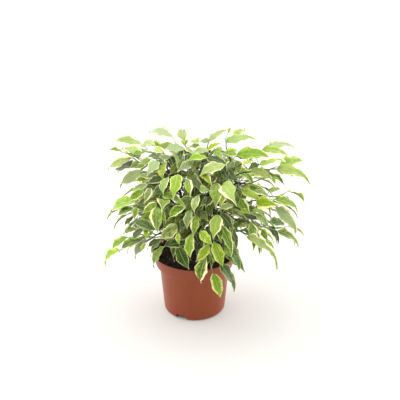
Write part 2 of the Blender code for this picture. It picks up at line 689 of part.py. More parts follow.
def grow_hidden(paths, thicket, count, scale, per_spray, rng, skip_front):
    """Grow sprays by rule: spread evenly over the crown, each arching out and down from its cutting."""
    sprays = []
    toward_eye = -picture_axes()[0]
    golden = math.pi * (3 - math.sqrt(5))
    for index in range(count):
        level = 1 - (1 - LOWEST_SPRAY) * (index + 0.5) / count
        ring = math.sqrt(1 - level * level)
        heading = Vector((math.cos(golden * index) * ring, math.sin(golden * index) * ring, level))
        if skip_front and heading.dot(toward_eye) > FRONT_FACING:
            continue
        target = CROWN_MIDDLE + Vector([heading[i] * CROWN_REACH[i] * scale for i in range(3)])
        if math.hypot(target.x, target.y) < POT_CLEARANCE + HIDDEN_CLEARANCE:
            target.z = max(target.z, RIM_CLEARANCE + HIDDEN_CLEARANCE)
        stem = min(paths, key=lambda name: (paths[name][-1] - target).length)
        start = twig_start(paths[stem], target)
        outward = Vector((target.x - start.x, target.y - start.y, 0.0))
        outward = outward.normalized() if outward.length > 0.004 else Vector((heading.x, heading.y, 0.2))
        sideways = outward.cross(Vector((0.0, 0.0, 1.0))).normalized()
        span = (target - start).length
        nodes = []
        for step in range(per_spray):
            share = HIDDEN_BARE + (1 - HIDDEN_BARE) * step / (per_spray - 1)
            arch = Vector((0.0, 0.0, HIDDEN_ARCH * span * share * (1 - share)))
            kink = sideways * (HIDDEN_KINK * (-1) ** step)
            nodes.append(start.lerp(target, share) + arch + kink)
        path = clear_twig(twig_path(start, nodes), thicket, stem)
        if path is None:
            continue
        spray = Spray(stem, path)
        for step in range(per_spray):
            leaf = ruled_leaf(spray, step + 2, outward, sideways, per_spray, thicket, rng)
            if leaf:
                spray.leaves[step + 2] = leaf
                thicket.add(leaf, *leaf.solid())
        if spray.leaves:
            grown = Spray(stem, ended_in_bud(path[:max(spray.leaves) + 1]))
            grown.leaves = spray.leaves
            sprays.append(grown)
            thicket.add_twig(grown)
    return sprays


def ruled_leaf(spray, index, outward, sideways, per_spray, thicket, rng):
    """A leaf of a hidden spray, on alternate sides, drooping, turned until it is clear."""
    node = spray.path[index]
    at_end = index == per_spray + 1
    for attempt in range(HIDDEN_TRIES):
        length = rng.uniform(*LEAF_LENGTHS)
        side = sideways * ((-1) ** index * (END_SPREAD if at_end else rng.uniform(*HIDDEN_SPREAD)))
        droop = rng.uniform(*HIDDEN_DROOP) + DROOP_STEP * attempt
        way = (outward * rng.uniform(*HIDDEN_REACH) + side + Vector((0.0, 0.0, -droop))).normalized()
        lifted = (way + Vector((0.0, 0.0, HIDDEN_LIFT))).normalized()
        base = node + lifted * rng.uniform(*HIDDEN_STALK)
        tip = base + way * length
        turn = rng.uniform(-HIDDEN_TURN, HIDDEN_TURN)
        facing = outward * HIDDEN_SPREAD[0] + Vector((0.0, 0.0, 1.0)) + sideways * turn
        age = "Y" if at_end and rng.random() < YOUNG_SHARE else rng.choice("GGGP")
        leaf = Leaf(node, base, tip, length / LEAF_SLENDERNESS, facing, age, HIDDEN_BLADE)
        ends = [leaf.place(share, 0.0) for share in (0.3, 0.6, 1.0)]
        if any(crown_value(place) == 0.0 for place in ends) or tip.z < LOWEST_TIP:
            continue
        if thicket.has_room(leaf, spray, index):
            return leaf
    return None


def pot_guard():
    """A plain drum round the pot that no leaf may enter."""
    return tube([Vector((0.0, 0.0, GUARD_MARGIN / 2)), Vector((0.0, 0.0, POT_HEIGHT + GUARD_MARGIN / 2))],
                [RIM_RADIUS + GUARD_MARGIN] * 2, GUARD_SIDES)


def grow():
    """Grow the whole plant: its stems and sprays, each clear of the other cuttings."""
    rng = random.Random(GROWTH_SEED)
    thicket = Thicket()
    thicket.add("pot", *pot_guard())
    paths = {name: stem_path(name) for name in STEMS}
    for name, path in paths.items():
        radii = [radius + SHED_MARGIN for radius in stem_radii(path)]
        thicket.add(name, *tube(path[1:], radii[1:], STEM_SIDES))
    sprays = grow_front(paths, thicket)
    sprays += grow_hidden(paths, thicket, BACK_SPRAYS, BACK_SCALE, BACK_LEAVES, rng, True)
    sprays += grow_hidden(paths, thicket, INNER_SPRAYS, INNER_SCALE, INNER_LEAVES, rng, False)
    return paths, sprays


def material(name, colour, roughness):
    """A plain finish."""
    made = bpy.data.materials.new(name)
    made.use_nodes = True
    shader = made.node_tree.nodes["Principled BSDF"]
    shader.inputs["Base Color"].default_value = (*colour, 1.0)
    shader.inputs["Roughness"].default_value = roughness
    shader.inputs["Metallic"].default_value = 0.0
    made.diffuse_color = (*colour, 1.0)
    return made


def mesh_object(name, points, faces, finish, collection=None):
    """An object with a mesh of its own."""
    mesh = bpy.data.meshes.new(name)
    mesh.from_pydata([tuple(point) for point in points], [], faces)
    mesh.materials.append(finish)
    made = bpy.data.objects.new(name, mesh)
    (collection or bpy.context.scene.collection).objects.link(made)
    return made


def turned(profile, sides):
    """A body turned round Z from a profile that starts and ends on the axis."""
    points, faces, rings = [], [], []
    for radius, height in profile:
        if radius == 0.0:
            rings.append([len(points)] * sides)
            points.append(Vector((0.0, 0.0, height)))
            continue
        rings.append(list(range(len(points), len(points) + sides)))
        for corner in range(sides):
            angle = 2 * math.pi * corner / sides
            points.append(Vector((radius * math.cos(angle), radius * math.sin(angle), height)))
    for low, high in zip(rings, rings[1:]):
        for corner in range(sides):
            after = (corner + 1) % sides
            face = [low[corner], low[after], high[after], high[corner]]
            face = [point for index, point in enumerate(face) if point not in face[:index]]
            faces.append(tuple(face))
    return points, faces


def wall_radius(height):
    """The outside radius of the pot's wall at a height, below the band."""
    share = (height - CORNER) / (BAND_LOW - CORNER)
    return FOOT_RADIUS + (WALL_TOP_RADIUS - FOOT_RADIUS) * share


def band_radius(height):
    """The outside radius of the pot's rim band at a height."""
    share = (height - BAND_LOW) / BAND_HEIGHT
    return BAND_LOW_RADIUS + (RIM_RADIUS - BAND_LOW_RADIUS) * share


def cutter(name, points, faces, finish, target):
    """Cut a guide shape, which isn't a piece itself, out of a target."""
    made = mesh_object(name, points, faces, finish)
    made.hide_render = True
    made.display_type = "WIRE"
    cut = target.modifiers.new(name, "BOOLEAN")
    cut.operation = "DIFFERENCE"
    cut.solver = "EXACT"
    cut.object = made


def build_pot():
    """The pot: foot ring and disc, tapered wall, wide rim band, drain holes and foot notches."""
    ring_inside = FOOT - FOOT_RING_WIDTH
    outside = [
        (0.0, 0.0),
        (FOOT_DISC_RADIUS, 0.0),
        (FOOT_DISC_RADIUS + FOOT_DRAFT, FLOOR_UNDERSIDE),
        (ring_inside, FLOOR_UNDERSIDE),
        (ring_inside + FOOT_DRAFT, 0.0),
        (FOOT, 0.0),
        (FOOT_RADIUS, CORNER),
        (wall_radius(BAND_LOW), BAND_LOW),
        (BAND_LOW_RADIUS, BAND_LOW + LEDGE),
        (RIM_RADIUS, POT_HEIGHT),
    ]
    inside = [
        (RIM_RADIUS - WALL, POT_HEIGHT),
        (band_radius(SHELF) - WALL, SHELF),
        (wall_radius(SHELF) - WALL, SHELF - LEDGE * 1.5),
        (FOOT_RADIUS - WALL, INSIDE_CORNER),
        (FOOT - WALL * 0.5, FLOOR),
        (0.0, FLOOR),
    ]
    finish = material("terracotta_polypropylene", (0.42, 0.115, 0.055), 0.42)
    points, faces = turned(outside + inside, POT_SIDES)
    pot = mesh_object("pot", points, faces, finish)
    for index in range(DRAIN_HOLES):
        angle = 2 * math.pi * (index + DRAIN_TURN) / DRAIN_HOLES
        x, y = DRAIN_CIRCLE * math.cos(angle), DRAIN_CIRCLE * math.sin(angle)
        hole = tube([Vector((x, y, FLOOR_UNDERSIDE - CUT_PAST)), Vector((x, y, FLOOR + CUT_PAST))],
                    [DRAIN_HOLE_RADIUS] * 2, DRAIN_HOLE_SIDES)
        cutter(f"drain_hole_{index + 1}", *hole, finish, pot)
    mouth = ((-1.0, -CUT_PAST), (1.0, -CUT_PAST), (NOTCH_DRAFT, NOTCH_HEIGHT), (-NOTCH_DRAFT, NOTCH_HEIGHT))
    for index in range(NOTCHES):
        angle = NOTCH_ANGLE + 2 * math.pi * index / NOTCHES
        out = Vector((math.cos(angle), math.sin(angle), 0.0))
        side = Vector((-out.y, out.x, 0.0))
        corners = []
        for distance, (half, height) in itertools.product((ring_inside - CUT_PAST, RIM_RADIUS), mouth):
            corners.append(out * distance + side * (half * NOTCH_WIDTH / 2) + Vector((0, 0, height)))
        faces = [(3, 2, 1, 0), (4, 5, 6, 7), (0, 1, 5, 4), (1, 2, 6, 5), (2, 3, 7, 6), (3, 0, 4, 7)]
        cutter(f"foot_notch_{index + 1}", corners, faces, finish, pot)
    return pot


def build_soil():
    """The root ball and soil: it fills the pot with a small gap, has a crumbled top and a hole per stem."""
    rng = random.Random(GROWTH_SEED)
    inwards = WALL + SOIL_SLACK
    profile = [
        (0.0, FLOOR + GAP),
        (FOOT - inwards, FLOOR + GAP),
        (FOOT_RADIUS - inwards, INSIDE_CORNER + GAP),
        (wall_radius(SHELF) - inwards, SHELF + GAP),
        (band_radius(SHELF) - inwards, SHELF + GAP),
        (band_radius(SOIL_TOP) - inwards - GAP, SOIL_TOP - SOIL_EDGE_DROP),
    ] + [(radius, SOIL_TOP) for radius in SOIL_RINGS]
    points, faces = turned(profile, SOIL_SIDES)
    for point in points:
        if point.z >= SOIL_TOP - 1e-6:
            point.z += rng.uniform(-SOIL_ROUGHNESS, SOIL_ROUGHNESS)
    finish = material("potting_soil", (0.035, 0.024, 0.018), 0.95)
    soil = mesh_object("soil", points, faces, finish)
    for name, ((x, y), *_) in STEMS.items():
        hole = tube([Vector((x, y, SOIL_TOP - STEM_DEPTH)), Vector((x, y, SOIL_TOP + STEM_NECK))],
                    [STEM_RADIUS + STEM_CLEARANCE] * 2, STEM_SIDES)
        cutter(name + "_hole", *hole, finish, soil)
    return soil


def fuse(name, bodies, finish):
    """Join the woody stem, twigs and leaves of one cutting into one body."""
    stem = mesh_object(name, *bodies[0], finish)
    gathered = bpy.data.collections.new(name + "_growth")
    bpy.context.scene.collection.children.link(gathered)
    for index, body in enumerate(bodies[1:]):
        mesh_object(f"{name}_growth_{index}", *body, finish, gathered)
    join = stem.modifiers.new("grown_together", "BOOLEAN")
    join.operation = "UNION"
    join.operand_type = "COLLECTION"
    join.collection = gathered
    join.solver = "MANIFOLD"
    view_layer = bpy.context.view_layer
    view_layer.update()
    grown = bpy.data.meshes.new_from_object(stem.evaluated_get(bpy.context.evaluated_depsgraph_get()))
    stem.modifiers.remove(join)
    stem.data = grown
    for part in list(gathered.objects):
        bpy.data.objects.remove(part)
    bpy.data.collections.remove(gathered)


def build_plant():
    """The five cuttings, each one body."""
    paths, sprays = grow()
    for name, path in paths.items():
        finish = material(name + "_green", (0.24, 0.36, 0.12), 0.5)
        wood = tube(path, stem_radii(path), STEM_SIDES)
        fuse(name, [wood] + [spray.body() for spray in sprays if spray.stem == name], finish)


def main():
    """Model the whole object."""
    for old in list(bpy.data.objects):
        bpy.data.objects.remove(old)
    build_pot()
    build_soil()
    build_plant()


main()
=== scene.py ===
"""Dresses a potted kinky weeping fig: leaves, twigs, soil and nursery pot, on a plain pale stage.

The cuttings grow here by the rule that placed their solids, so each fine leaf lies where its solid is.
Metres, +Z up; -Y is the side that the photograph shows.
"""
import functools
import itertools
import math
import random

import bpy
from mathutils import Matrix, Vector, noise
from mathutils.bvhtree import BVHTree


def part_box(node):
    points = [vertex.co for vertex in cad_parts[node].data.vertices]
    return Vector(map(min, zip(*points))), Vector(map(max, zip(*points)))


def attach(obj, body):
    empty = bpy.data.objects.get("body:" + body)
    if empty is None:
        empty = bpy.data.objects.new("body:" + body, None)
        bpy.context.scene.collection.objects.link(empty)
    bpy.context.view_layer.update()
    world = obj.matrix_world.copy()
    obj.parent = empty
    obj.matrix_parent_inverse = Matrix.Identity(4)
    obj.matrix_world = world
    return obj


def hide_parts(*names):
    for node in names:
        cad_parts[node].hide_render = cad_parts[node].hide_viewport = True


bl_info = {
    "name": "Potted Kinky Weeping Fig",
    "version": (1, 0, 0),
    "blender": (4, 5, 0),
    "location": "3D View > Sidebar > Weeping Fig",
    "description": "Variegated leaves, woody stems, potting soil, nursery pot and stage",
    "category": "Add Mesh",
}

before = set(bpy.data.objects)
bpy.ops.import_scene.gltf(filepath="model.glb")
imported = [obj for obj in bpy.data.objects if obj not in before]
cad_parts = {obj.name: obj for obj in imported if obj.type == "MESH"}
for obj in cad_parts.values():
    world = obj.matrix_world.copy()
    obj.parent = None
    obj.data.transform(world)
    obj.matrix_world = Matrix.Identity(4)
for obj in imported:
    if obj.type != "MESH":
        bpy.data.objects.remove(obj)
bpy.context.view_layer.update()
_, POT_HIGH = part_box("pot")

# The gap between pieces that would touch, and a length too small to have a direction
GAP = 0.0003
TINY = 1e-6

# The pot, a 12 cm nursery pot, as high and as wide as its solid
POT_HEIGHT = round(POT_HIGH[2], 5)
RIM_RADIUS = round(POT_HIGH[0], 5)
BAND_HEIGHT = 0.0205
BAND_LOW_RADIUS = 0.0546
WALL_TOP_RADIUS = 0.0495
FOOT_RADIUS = 0.0436
WALL = 0.0014
CORNER = 0.0050
FOOT_RING_WIDTH = 0.0040
FOOT_DISC_RADIUS = 0.0120
FLOOR_UNDERSIDE = 0.0076
FOOT_DRAFT = 0.001
LEDGE = 0.0004
DRAIN_HOLES = 6
DRAIN_HOLE_RADIUS = 0.0035
DRAIN_CIRCLE = 0.0250
DRAIN_TURN = 0.41
NOTCHES = 3
NOTCH_WIDTH = 0.0165
NOTCH_HEIGHT = 0.0073
CUT_PAST = 0.001
NOTCH_ANGLE = math.radians(-116)
FOOT = FOOT_RADIUS - 0.7 * CORNER
FLOOR = FLOOR_UNDERSIDE + WALL
INSIDE_CORNER = FLOOR + 0.0012
BAND_LOW = POT_HEIGHT - BAND_HEIGHT
SHELF = BAND_LOW + WALL

# The soil and the holes that the stems stand in
SOIL_TOP = 0.0820
SOIL_ROUGHNESS = 0.0016
SOIL_SLACK = 0.0006
SOIL_EDGE_DROP = 0.0012
STEM_DEPTH = 0.0250
STEM_SIDES = 6
STEM_RADIUS = 0.0029
STEM_TIP_RADIUS = 0.0015
STEM_NECK = 0.004
STEM_SWAY = Vector((0.0008, -0.0008, 0.0))

# Each cutting: where it stands in the soil, then the points that its stem bends through
STEMS = {
    "leafy_stem_left": [(-0.018, 0.003), (-0.021, -0.002, 0.130), (-0.018, -0.008, 0.180),
                        (-0.027, -0.010, 0.212)],
    "leafy_stem_right": [(0.022, -0.002), (0.029, -0.006, 0.130), (0.040, -0.008, 0.172),
                         (0.048, -0.006, 0.205)],
    "leafy_stem_front": [(0.004, -0.024), (0.006, -0.034, 0.118), (0.010, -0.042, 0.150),
                         (0.016, -0.046, 0.178)],
    "leafy_stem_middle": [(0.001, 0.010), (0.000, 0.008, 0.135), (0.002, 0.004, 0.190),
                          (0.004, 0.002, 0.232)],
    "leafy_stem_back": [(0.004, 0.032), (0.006, 0.040, 0.130), (0.012, 0.048, 0.175),
                        (0.016, 0.050, 0.208)],
}

# The crown: an ellipsoid that the outermost leaves lie on
CROWN_MIDDLE = Vector((0.017, 0.0, 0.150))
CROWN_REACH = Vector((0.143, 0.125, 0.118))
POT_CLEARANCE = 0.0690
RIM_CLEARANCE = 0.0990
CROWN_NEAREST = 0.170
CROWN_STEP = 0.002
CROWN_STEPS = 160

# The eye that the front sprays were laid out from, and the picture that it saw them in
VIEW_PITCH = math.radians(27.4)
VIEW_DISTANCE = 1.498
VIEW_FOCAL = 1062.0
PICTURE_MIDDLE = 200.0
RIM_IN_PICTURE = (194.5, 248.9)

# Leaves: the letter gives a leaf's age and place. G is grown, P grown and pale, Y young, S shaded
# behind the others and O old and in the deepest shade. A young leaf is still folded more along its rib.
LEAF_FOLD = {"G": math.radians(14), "P": math.radians(12), "Y": math.radians(22), "S": math.radians(10),
             "O": math.radians(14)}
SHADED = "SO"
LEAF_THICKNESS = 0.0012
LEAF_ARCH = 0.10
LEAF_WAVE = 0.035
WAVE_RATE = 7.5
WAVE_STARTS = (3.6, 1.5)
LEAF_SLENDERNESS = 2.35
LONGEST_LEAF = 0.058
PETIOLE_RADIUS = 0.0006
FORESHORTENED = 0.8
LONG_LEAF_DEPTH = 0.3
ROLL_SHARE = 0.85
FACING_OUT = 0.4
FACING_UP = 0.6
SHADE_DEPTH = 0.010
BASE_DEPTH = 0.006
PETIOLE_REACH = 0.010
TWIG_HEART = (0.008, 0.105, 0.45)
FRONT_SHIFTS = (0.0, -0.003, 0.003, -0.006, 0.006, 0.009, -0.009, 0.012, -0.013, 0.016, 0.020)
FRONT_FITS = ((1.0, 0.0), (0.94, 0.25), (0.94, -0.25), (0.86, 0.0), (0.86, 0.45), (0.80, -0.45))
STEEPEST_STALK = 0.94
SHORTEST_STALK = 0.0045
LOWEST_TIP = 0.012

# How wide a leaf is along its length: the share of the length, then the share of the half width. The
# first two are the solids', for a front and a hidden leaf, and the third is the finer one shown here.
BLADE = ((0.0, 0.09), (0.20, 0.86), (0.46, 1.0), (0.78, 0.40))
HIDDEN_BLADE = ((0.0, 0.09), (0.28, 0.98), (0.66, 0.72))
OUTLINE = ((0.0, 0.07), (0.06, 0.48), (0.20, 0.90), (0.40, 1.0), (0.58, 0.82), (0.74, 0.44), (0.84, 0.20),
           (0.93, 0.08), (1.0, 0.0))

# Front sprays, by the cutting that they grow from. A spray is its leaves in order from the stem outwards.
# A leaf is where its blade starts, where its tip is and how wide it looks, in points of the picture.
FRONT_SPRAYS = {
    "leafy_stem_left": {
        "upper left": [(164, 162.5, 163.5, 183, 8, "Y"), (157, 161, 146.5, 177, 11, "P"),
                       (150, 160, 138, 164, 6, "S"), (149, 156, 164, 162, 5.5, "S"),
                       (154, 146, 141, 146, 5, "G"), (147, 151, 134, 155, 6, "G"),
                       (142, 144.5, 110, 142, 7, "P"), (139, 149, 130, 147, 5, "Y"),
                       (138, 150, 131, 153, 4, "Y")],
        "far left": [(145, 164, 135, 169, 5, "G"), (138, 162, 128, 169, 8, "G"),
                     (139, 158, 121, 148, 6, "G"), (138, 159, 125, 153, 7, "Y"),
                     (134, 168, 117, 170.5, 5, "S"), (132, 158.5, 107, 169, 7, "P"),
                     (122, 152, 107, 151, 3, "Y")],
        "left": [(163, 178, 146.5, 184, 8, "S"), (146, 172.5, 132.5, 180, 5, "S"),
                 (141, 171, 119, 185, 11, "P")],
        "left below": [(164, 187, 151, 197, 9, "S"), (159, 198, 148, 201.5, 4, "S"),
                       (150.5, 188, 143.5, 204, 8, "G"), (148, 185, 131, 194, 6, "G"),
                       (144, 190, 128, 202, 8.5, "G")],
        "left hanging": [(156.5, 202.5, 141.5, 214, 8, "G"), (136, 207, 134.5, 221, 6.5, "Y"),
                         (136, 202, 109, 213.5, 7, "P"), (133.5, 209, 116, 217.5, 6.5, "G"),
                         (134, 217, 123.5, 226.5, 4, "S"), (121, 207, 108, 213, 5, "Y")],
        "low left": [(156, 207, 158, 234.5, 13, "G"), (153, 230, 131, 222, 9.5, "G"),
                     (153, 231, 147, 236.5, 4, "Y"), (146, 229, 146, 239.5, 6, "Y"),
                     (144, 228.5, 131, 240, 6, "S")],
        "lowest left": [(161, 240, 146.5, 249, 4, "S"), (147, 240, 134.5, 259, 5, "P"),
                        (146, 243, 141, 252.5, 4, "Y"), (142, 240.5, 118, 252, 7, "G"),
                        (120, 250.5, 104.3, 265, 4, "Y")],
        "front left": [(184.5, 206, 167.5, 220.5, 8.5, "G"), (163, 195, 186, 207, 7, "G"),
                       (163, 199, 162, 212, 13.5, "G"), (163, 211, 166.5, 223.5, 5, "Y")],
        "middle left": [(187.5, 180, 190.5, 197.5, 9, "G"), (177.5, 174.5, 173, 200, 12.5, "G"),
                        (172, 184.5, 173.5, 196, 5, "Y"), (168, 177, 163.5, 197, 7, "G")],
    },
    "leafy_stem_middle": {
        "top": [(192, 172, 186, 180, 6, "S"), (192, 161, 176, 172, 9, "G"),
                (181.5, 150, 182, 163, 7, "S"), (185, 150, 161, 151, 6, "G"),
                (186, 148, 193, 153, 5, "G"), (184, 145, 188, 139, 4, "Y"),
                (184, 145, 181, 140, 4, "Y"), (184, 141, 183.5, 129, 13, "G")],
        "top left": [(171, 151, 178, 168, 7, "G"), (171, 143.5, 156, 147, 7, "G"),
                     (172.5, 137, 148, 131.5, 9.5, "P")],
        "top right": [(193, 169, 198, 177, 5, "S"), (207.5, 158, 185, 163, 6, "Y"),
                      (207, 158, 229, 167, 7, "S"), (209, 150, 190, 155, 6, "G"),
                      (208, 150, 222, 143.5, 5, "Y"), (215, 151, 223, 148, 5, "G"),
                      (209, 139.5, 198, 142.5, 6, "P"), (209, 141.5, 228, 129.5, 7, "G")],
        "upper middle": [(201, 174, 212.5, 187, 8, "Y"), (214, 169, 203, 176, 7, "S"),
                         (216, 168, 220, 182, 8, "S"), (221, 167, 240.5, 181.5, 12, "S"),
                         (225, 164, 196.5, 178.5, 9, "P")],
    },
    "leafy_stem_front": {
        "front middle": [(190.5, 210, 187, 231, 8, "G"), (196, 215.5, 193, 237, 9.5, "G"),
                         (185, 219, 180, 232, 8, "S"), (192, 234, 190.5, 260.5, 10, "Y")],
        "front hanging": [(218, 215, 213, 240, 13, "P"), (219, 228.5, 221.5, 242, 8.5, "G"),
                          (200, 231, 213.5, 246, 10, "Y"), (214, 242, 223, 268, 12.5, "Y"),
                          (209.5, 245, 195, 262.5, 10, "Y"), (211, 247, 213, 262, 6, "G"),
                          (206, 257, 200.5, 284, 11.5, "G"), (213, 273, 220.5, 298, 12.5, "Y")],
        "front right": [(224, 224, 237, 250, 8, "S"), (220.5, 226, 232, 257, 9, "G"),
                        (229, 245, 240, 270.5, 9, "G"), (225, 247, 231.5, 257.5, 6, "G"),
                        (220, 264, 235.3, 292, 8, "G")],
        "over the rim": [(177, 225, 158, 239, 12.5, "G"), (178, 232, 179.5, 246, 5, "Y"),
                         (186, 243.5, 163, 247.5, 8.5, "S"), (178, 247, 189.5, 270, 12.5, "S"),
                         (164, 247, 153, 268, 5, "P")],
        "middle": [(201, 213, 209, 222, 8, "S"), (209, 199, 200, 207, 8, "S"),
                   (198, 195, 194, 215, 7, "G"), (200, 187.5, 211, 190.5, 7.5, "G"),
                   (216, 183.5, 216, 209.5, 13, "G"), (224, 194, 219, 207.5, 7, "Y")],
        "middle right": [(221, 214, 233.5, 230, 10, "S"), (233, 205, 217, 211.5, 6, "P"),
                         (233, 206, 246.5, 211.5, 6, "S"), (242, 209.5, 249.5, 214.5, 5, "Y")],
    },
    "leafy_stem_right": {
        "right of middle": [(223, 184, 236.5, 205.5, 16, "P"), (231, 193, 228, 205, 10, "S"),
                            (240, 199, 251, 215, 10, "G"), (242, 191, 261.5, 202.5, 8, "G"),
                            (254, 191, 270, 197.5, 5, "G")],
        "right": [(244, 215, 262, 221, 6, "S"), (256, 214, 269, 227.5, 7, "G"),
                  (262, 212, 250, 213.5, 4, "G"), (257, 204, 281, 206, 14, "Y"),
                  (275, 199, 298, 210, 7, "G"), (276, 208, 297, 233.5, 10.5, "P")],
        "right hanging": [(235, 223, 238, 231, 5, "S"), (241, 224, 246, 228, 4, "G"),
                          (250.5, 223, 254, 251, 9, "G"), (262, 230.5, 269, 242, 8, "G"),
                          (269.5, 226.5, 279, 244, 5, "S"), (277.5, 231, 299.5, 246.5, 7, "G")],
        "lowest right": [(247, 236.5, 281, 270, 10, "P"), (265, 240, 274, 249.5, 4, "Y")],
        "upper right": [(236, 153, 220, 154, 9, "Y"), (237, 154.5, 270, 156.5, 12, "Y"),
                        (226, 142, 256, 138.3, 7, "P"), (236, 137, 246, 131.5, 4, "Y"),
                        (228, 133, 231.5, 128, 4, "Y")],
        "far upper right": [(238, 161, 235, 169, 5, "S"), (252, 160, 240.5, 169, 5, "G"),
                            (258, 164, 247, 170.5, 7, "S"), (259.5, 165, 286, 160.5, 6, "G"),
                            (262, 150, 289, 156, 8, "G"), (268, 147.5, 296, 148, 6, "P")],
        "right arch": [(251, 170.5, 273, 180, 9, "G"), (277, 170, 293.5, 176.5, 7, "Y"),
                       (277, 168.5, 311, 183, 8, "P"), (280, 166.5, 304, 162, 10, "Y")],
        "under the arch": [(249, 187, 268, 199, 9, "S"), (272, 178, 276, 185, 4, "Y"),
                           (273, 177, 280, 180, 3, "Y")],
    },
}

# Sprays that the front hides: round the sides and back, then a few inside the crown
BACK_SPRAYS = 40
BACK_LEAVES = 6
BACK_SCALE = 0.76
INNER_SPRAYS = 26
INNER_LEAVES = 4
INNER_SCALE = 0.56
FRONT_FACING = 0.02
LOWEST_SPRAY = -0.42
LEAF_LENGTHS = (0.030, 0.043)
TWIG_RADIUS = 0.0013
TWIG_TIP_RADIUS = 0.0008
TWIG_SIDES = 3
NODE_HALF = 0.0010
NODE_SPACING = 0.0050
NODES_TRIED = 5
# A twig's places are its start, its arch and then, before each node, a spare one
FIRST_NODE = 3
TWIG_EVENINGS = (2, 4, 8, 16)
EVENED_SHARE = 0.6
TWIG_RISE = 0.55
TWIG_ARCH = 0.10
ARCH_CLEARANCE = 0.003
TWIG_BENDS = (0.004, 0.008, 0.012, 0.016)
TWIG_BEND_TURNS = 8
TWIG_BEND_SHARE = 0.5
LOWEST_FORK = 0.022
FORK_BELOW_TIP = 0.002
BUD_LENGTH = 0.0015

# The hidden sprays' rule: how they arch and kink, how their leaves are held, of which age they are, which
# way a twig heads that goes nearly straight up, and which of a leaf's places must be clear of the pot
HIDDEN_CLEARANCE = 0.012
HIDDEN_BARE = 0.42
HIDDEN_ARCH = 0.55
HIDDEN_KINK = 0.0026
HIDDEN_TRIES = 9
HIDDEN_SPREAD = (0.55, 1.1)
HIDDEN_REACH = (0.5, 0.9)
HIDDEN_DROOP = (0.25, 0.75)
HIDDEN_STALK = (0.007, 0.011)
HIDDEN_LIFT = 0.9
HIDDEN_TURN = 0.5
HIDDEN_AGES = "GGGP"
UPRIGHT_REACH = 0.004
UPRIGHT_RISE = 0.2
END_SPREAD = 0.15
TESTED_SHARES = (0.3, 0.6, 1.0)
DROOP_STEP = 0.04
YOUNG_SHARE = 0.55

# How clear leaves and twigs stay of other sprays, how clear of the pot, and the growth's fixed seed
SHED_MARGIN = 0.0009
GUARD_MARGIN = 0.002
GUARD_SIDES = 24
GROWTH_SEED = 41


def picture_axes():
    """The picture's directions: ahead, up and right."""
    ahead = Vector((0.0, math.cos(VIEW_PITCH), -math.sin(VIEW_PITCH)))
    up = Vector((0.0, math.sin(VIEW_PITCH), math.cos(VIEW_PITCH)))
    return ahead, up, Vector((1.0, 0.0, 0.0))


def line_of_sight(x, y):
    """The direction from the eye to a point of the picture, one metre ahead."""
    ahead, up, right = picture_axes()
    return ahead + right * ((x - PICTURE_MIDDLE) / VIEW_FOCAL) - up * ((y - PICTURE_MIDDLE) / VIEW_FOCAL)


EYE = Vector((0.0, 0.0, POT_HEIGHT)) - line_of_sight(*RIM_IN_PICTURE) * VIEW_DISTANCE


def sighted(x, y, depth):
    """The place that is depth metres ahead of the eye at a point of the picture."""
    return EYE + line_of_sight(x, y) * depth


def crown_value(place):
    """Below 1 inside the crown or too near the pot, and above 1 outside."""
    if place.z < RIM_CLEARANCE and math.hypot(place.x, place.y) < POT_CLEARANCE:
        return 0.0
    offset = place - CROWN_MIDDLE
    return sum((offset[i] / CROWN_REACH[i]) ** 2 for i in range(3))


def crown_depth(x, y):
    """How far ahead of the eye the crown's front, or else its edge, lies at a point of the picture."""
    nearest, nearest_value = VIEW_DISTANCE, math.inf
    for step in range(CROWN_STEPS):
        depth = VIEW_DISTANCE - CROWN_NEAREST + step * CROWN_STEP
        value = crown_value(sighted(x, y, depth))
        if value <= 1.0:
            return depth
        if value < nearest_value:
            nearest, nearest_value = depth, value
    return nearest


def across(direction, wanted):
    """The part of wanted that is square to direction, as a unit vector."""
    square = wanted - direction * wanted.dot(direction)
    if square.length < TINY:
        square = direction.orthogonal()
    return square.normalized()


def outward_from_crown(place):
    """The way out of the crown at a place, with some of the way up."""
    out = Vector((place.x - CROWN_MIDDLE.x, place.y, place.z - CROWN_MIDDLE.z))
    return out.normalized() if out.length > TINY else Vector((0.0, 0.0, 1.0))


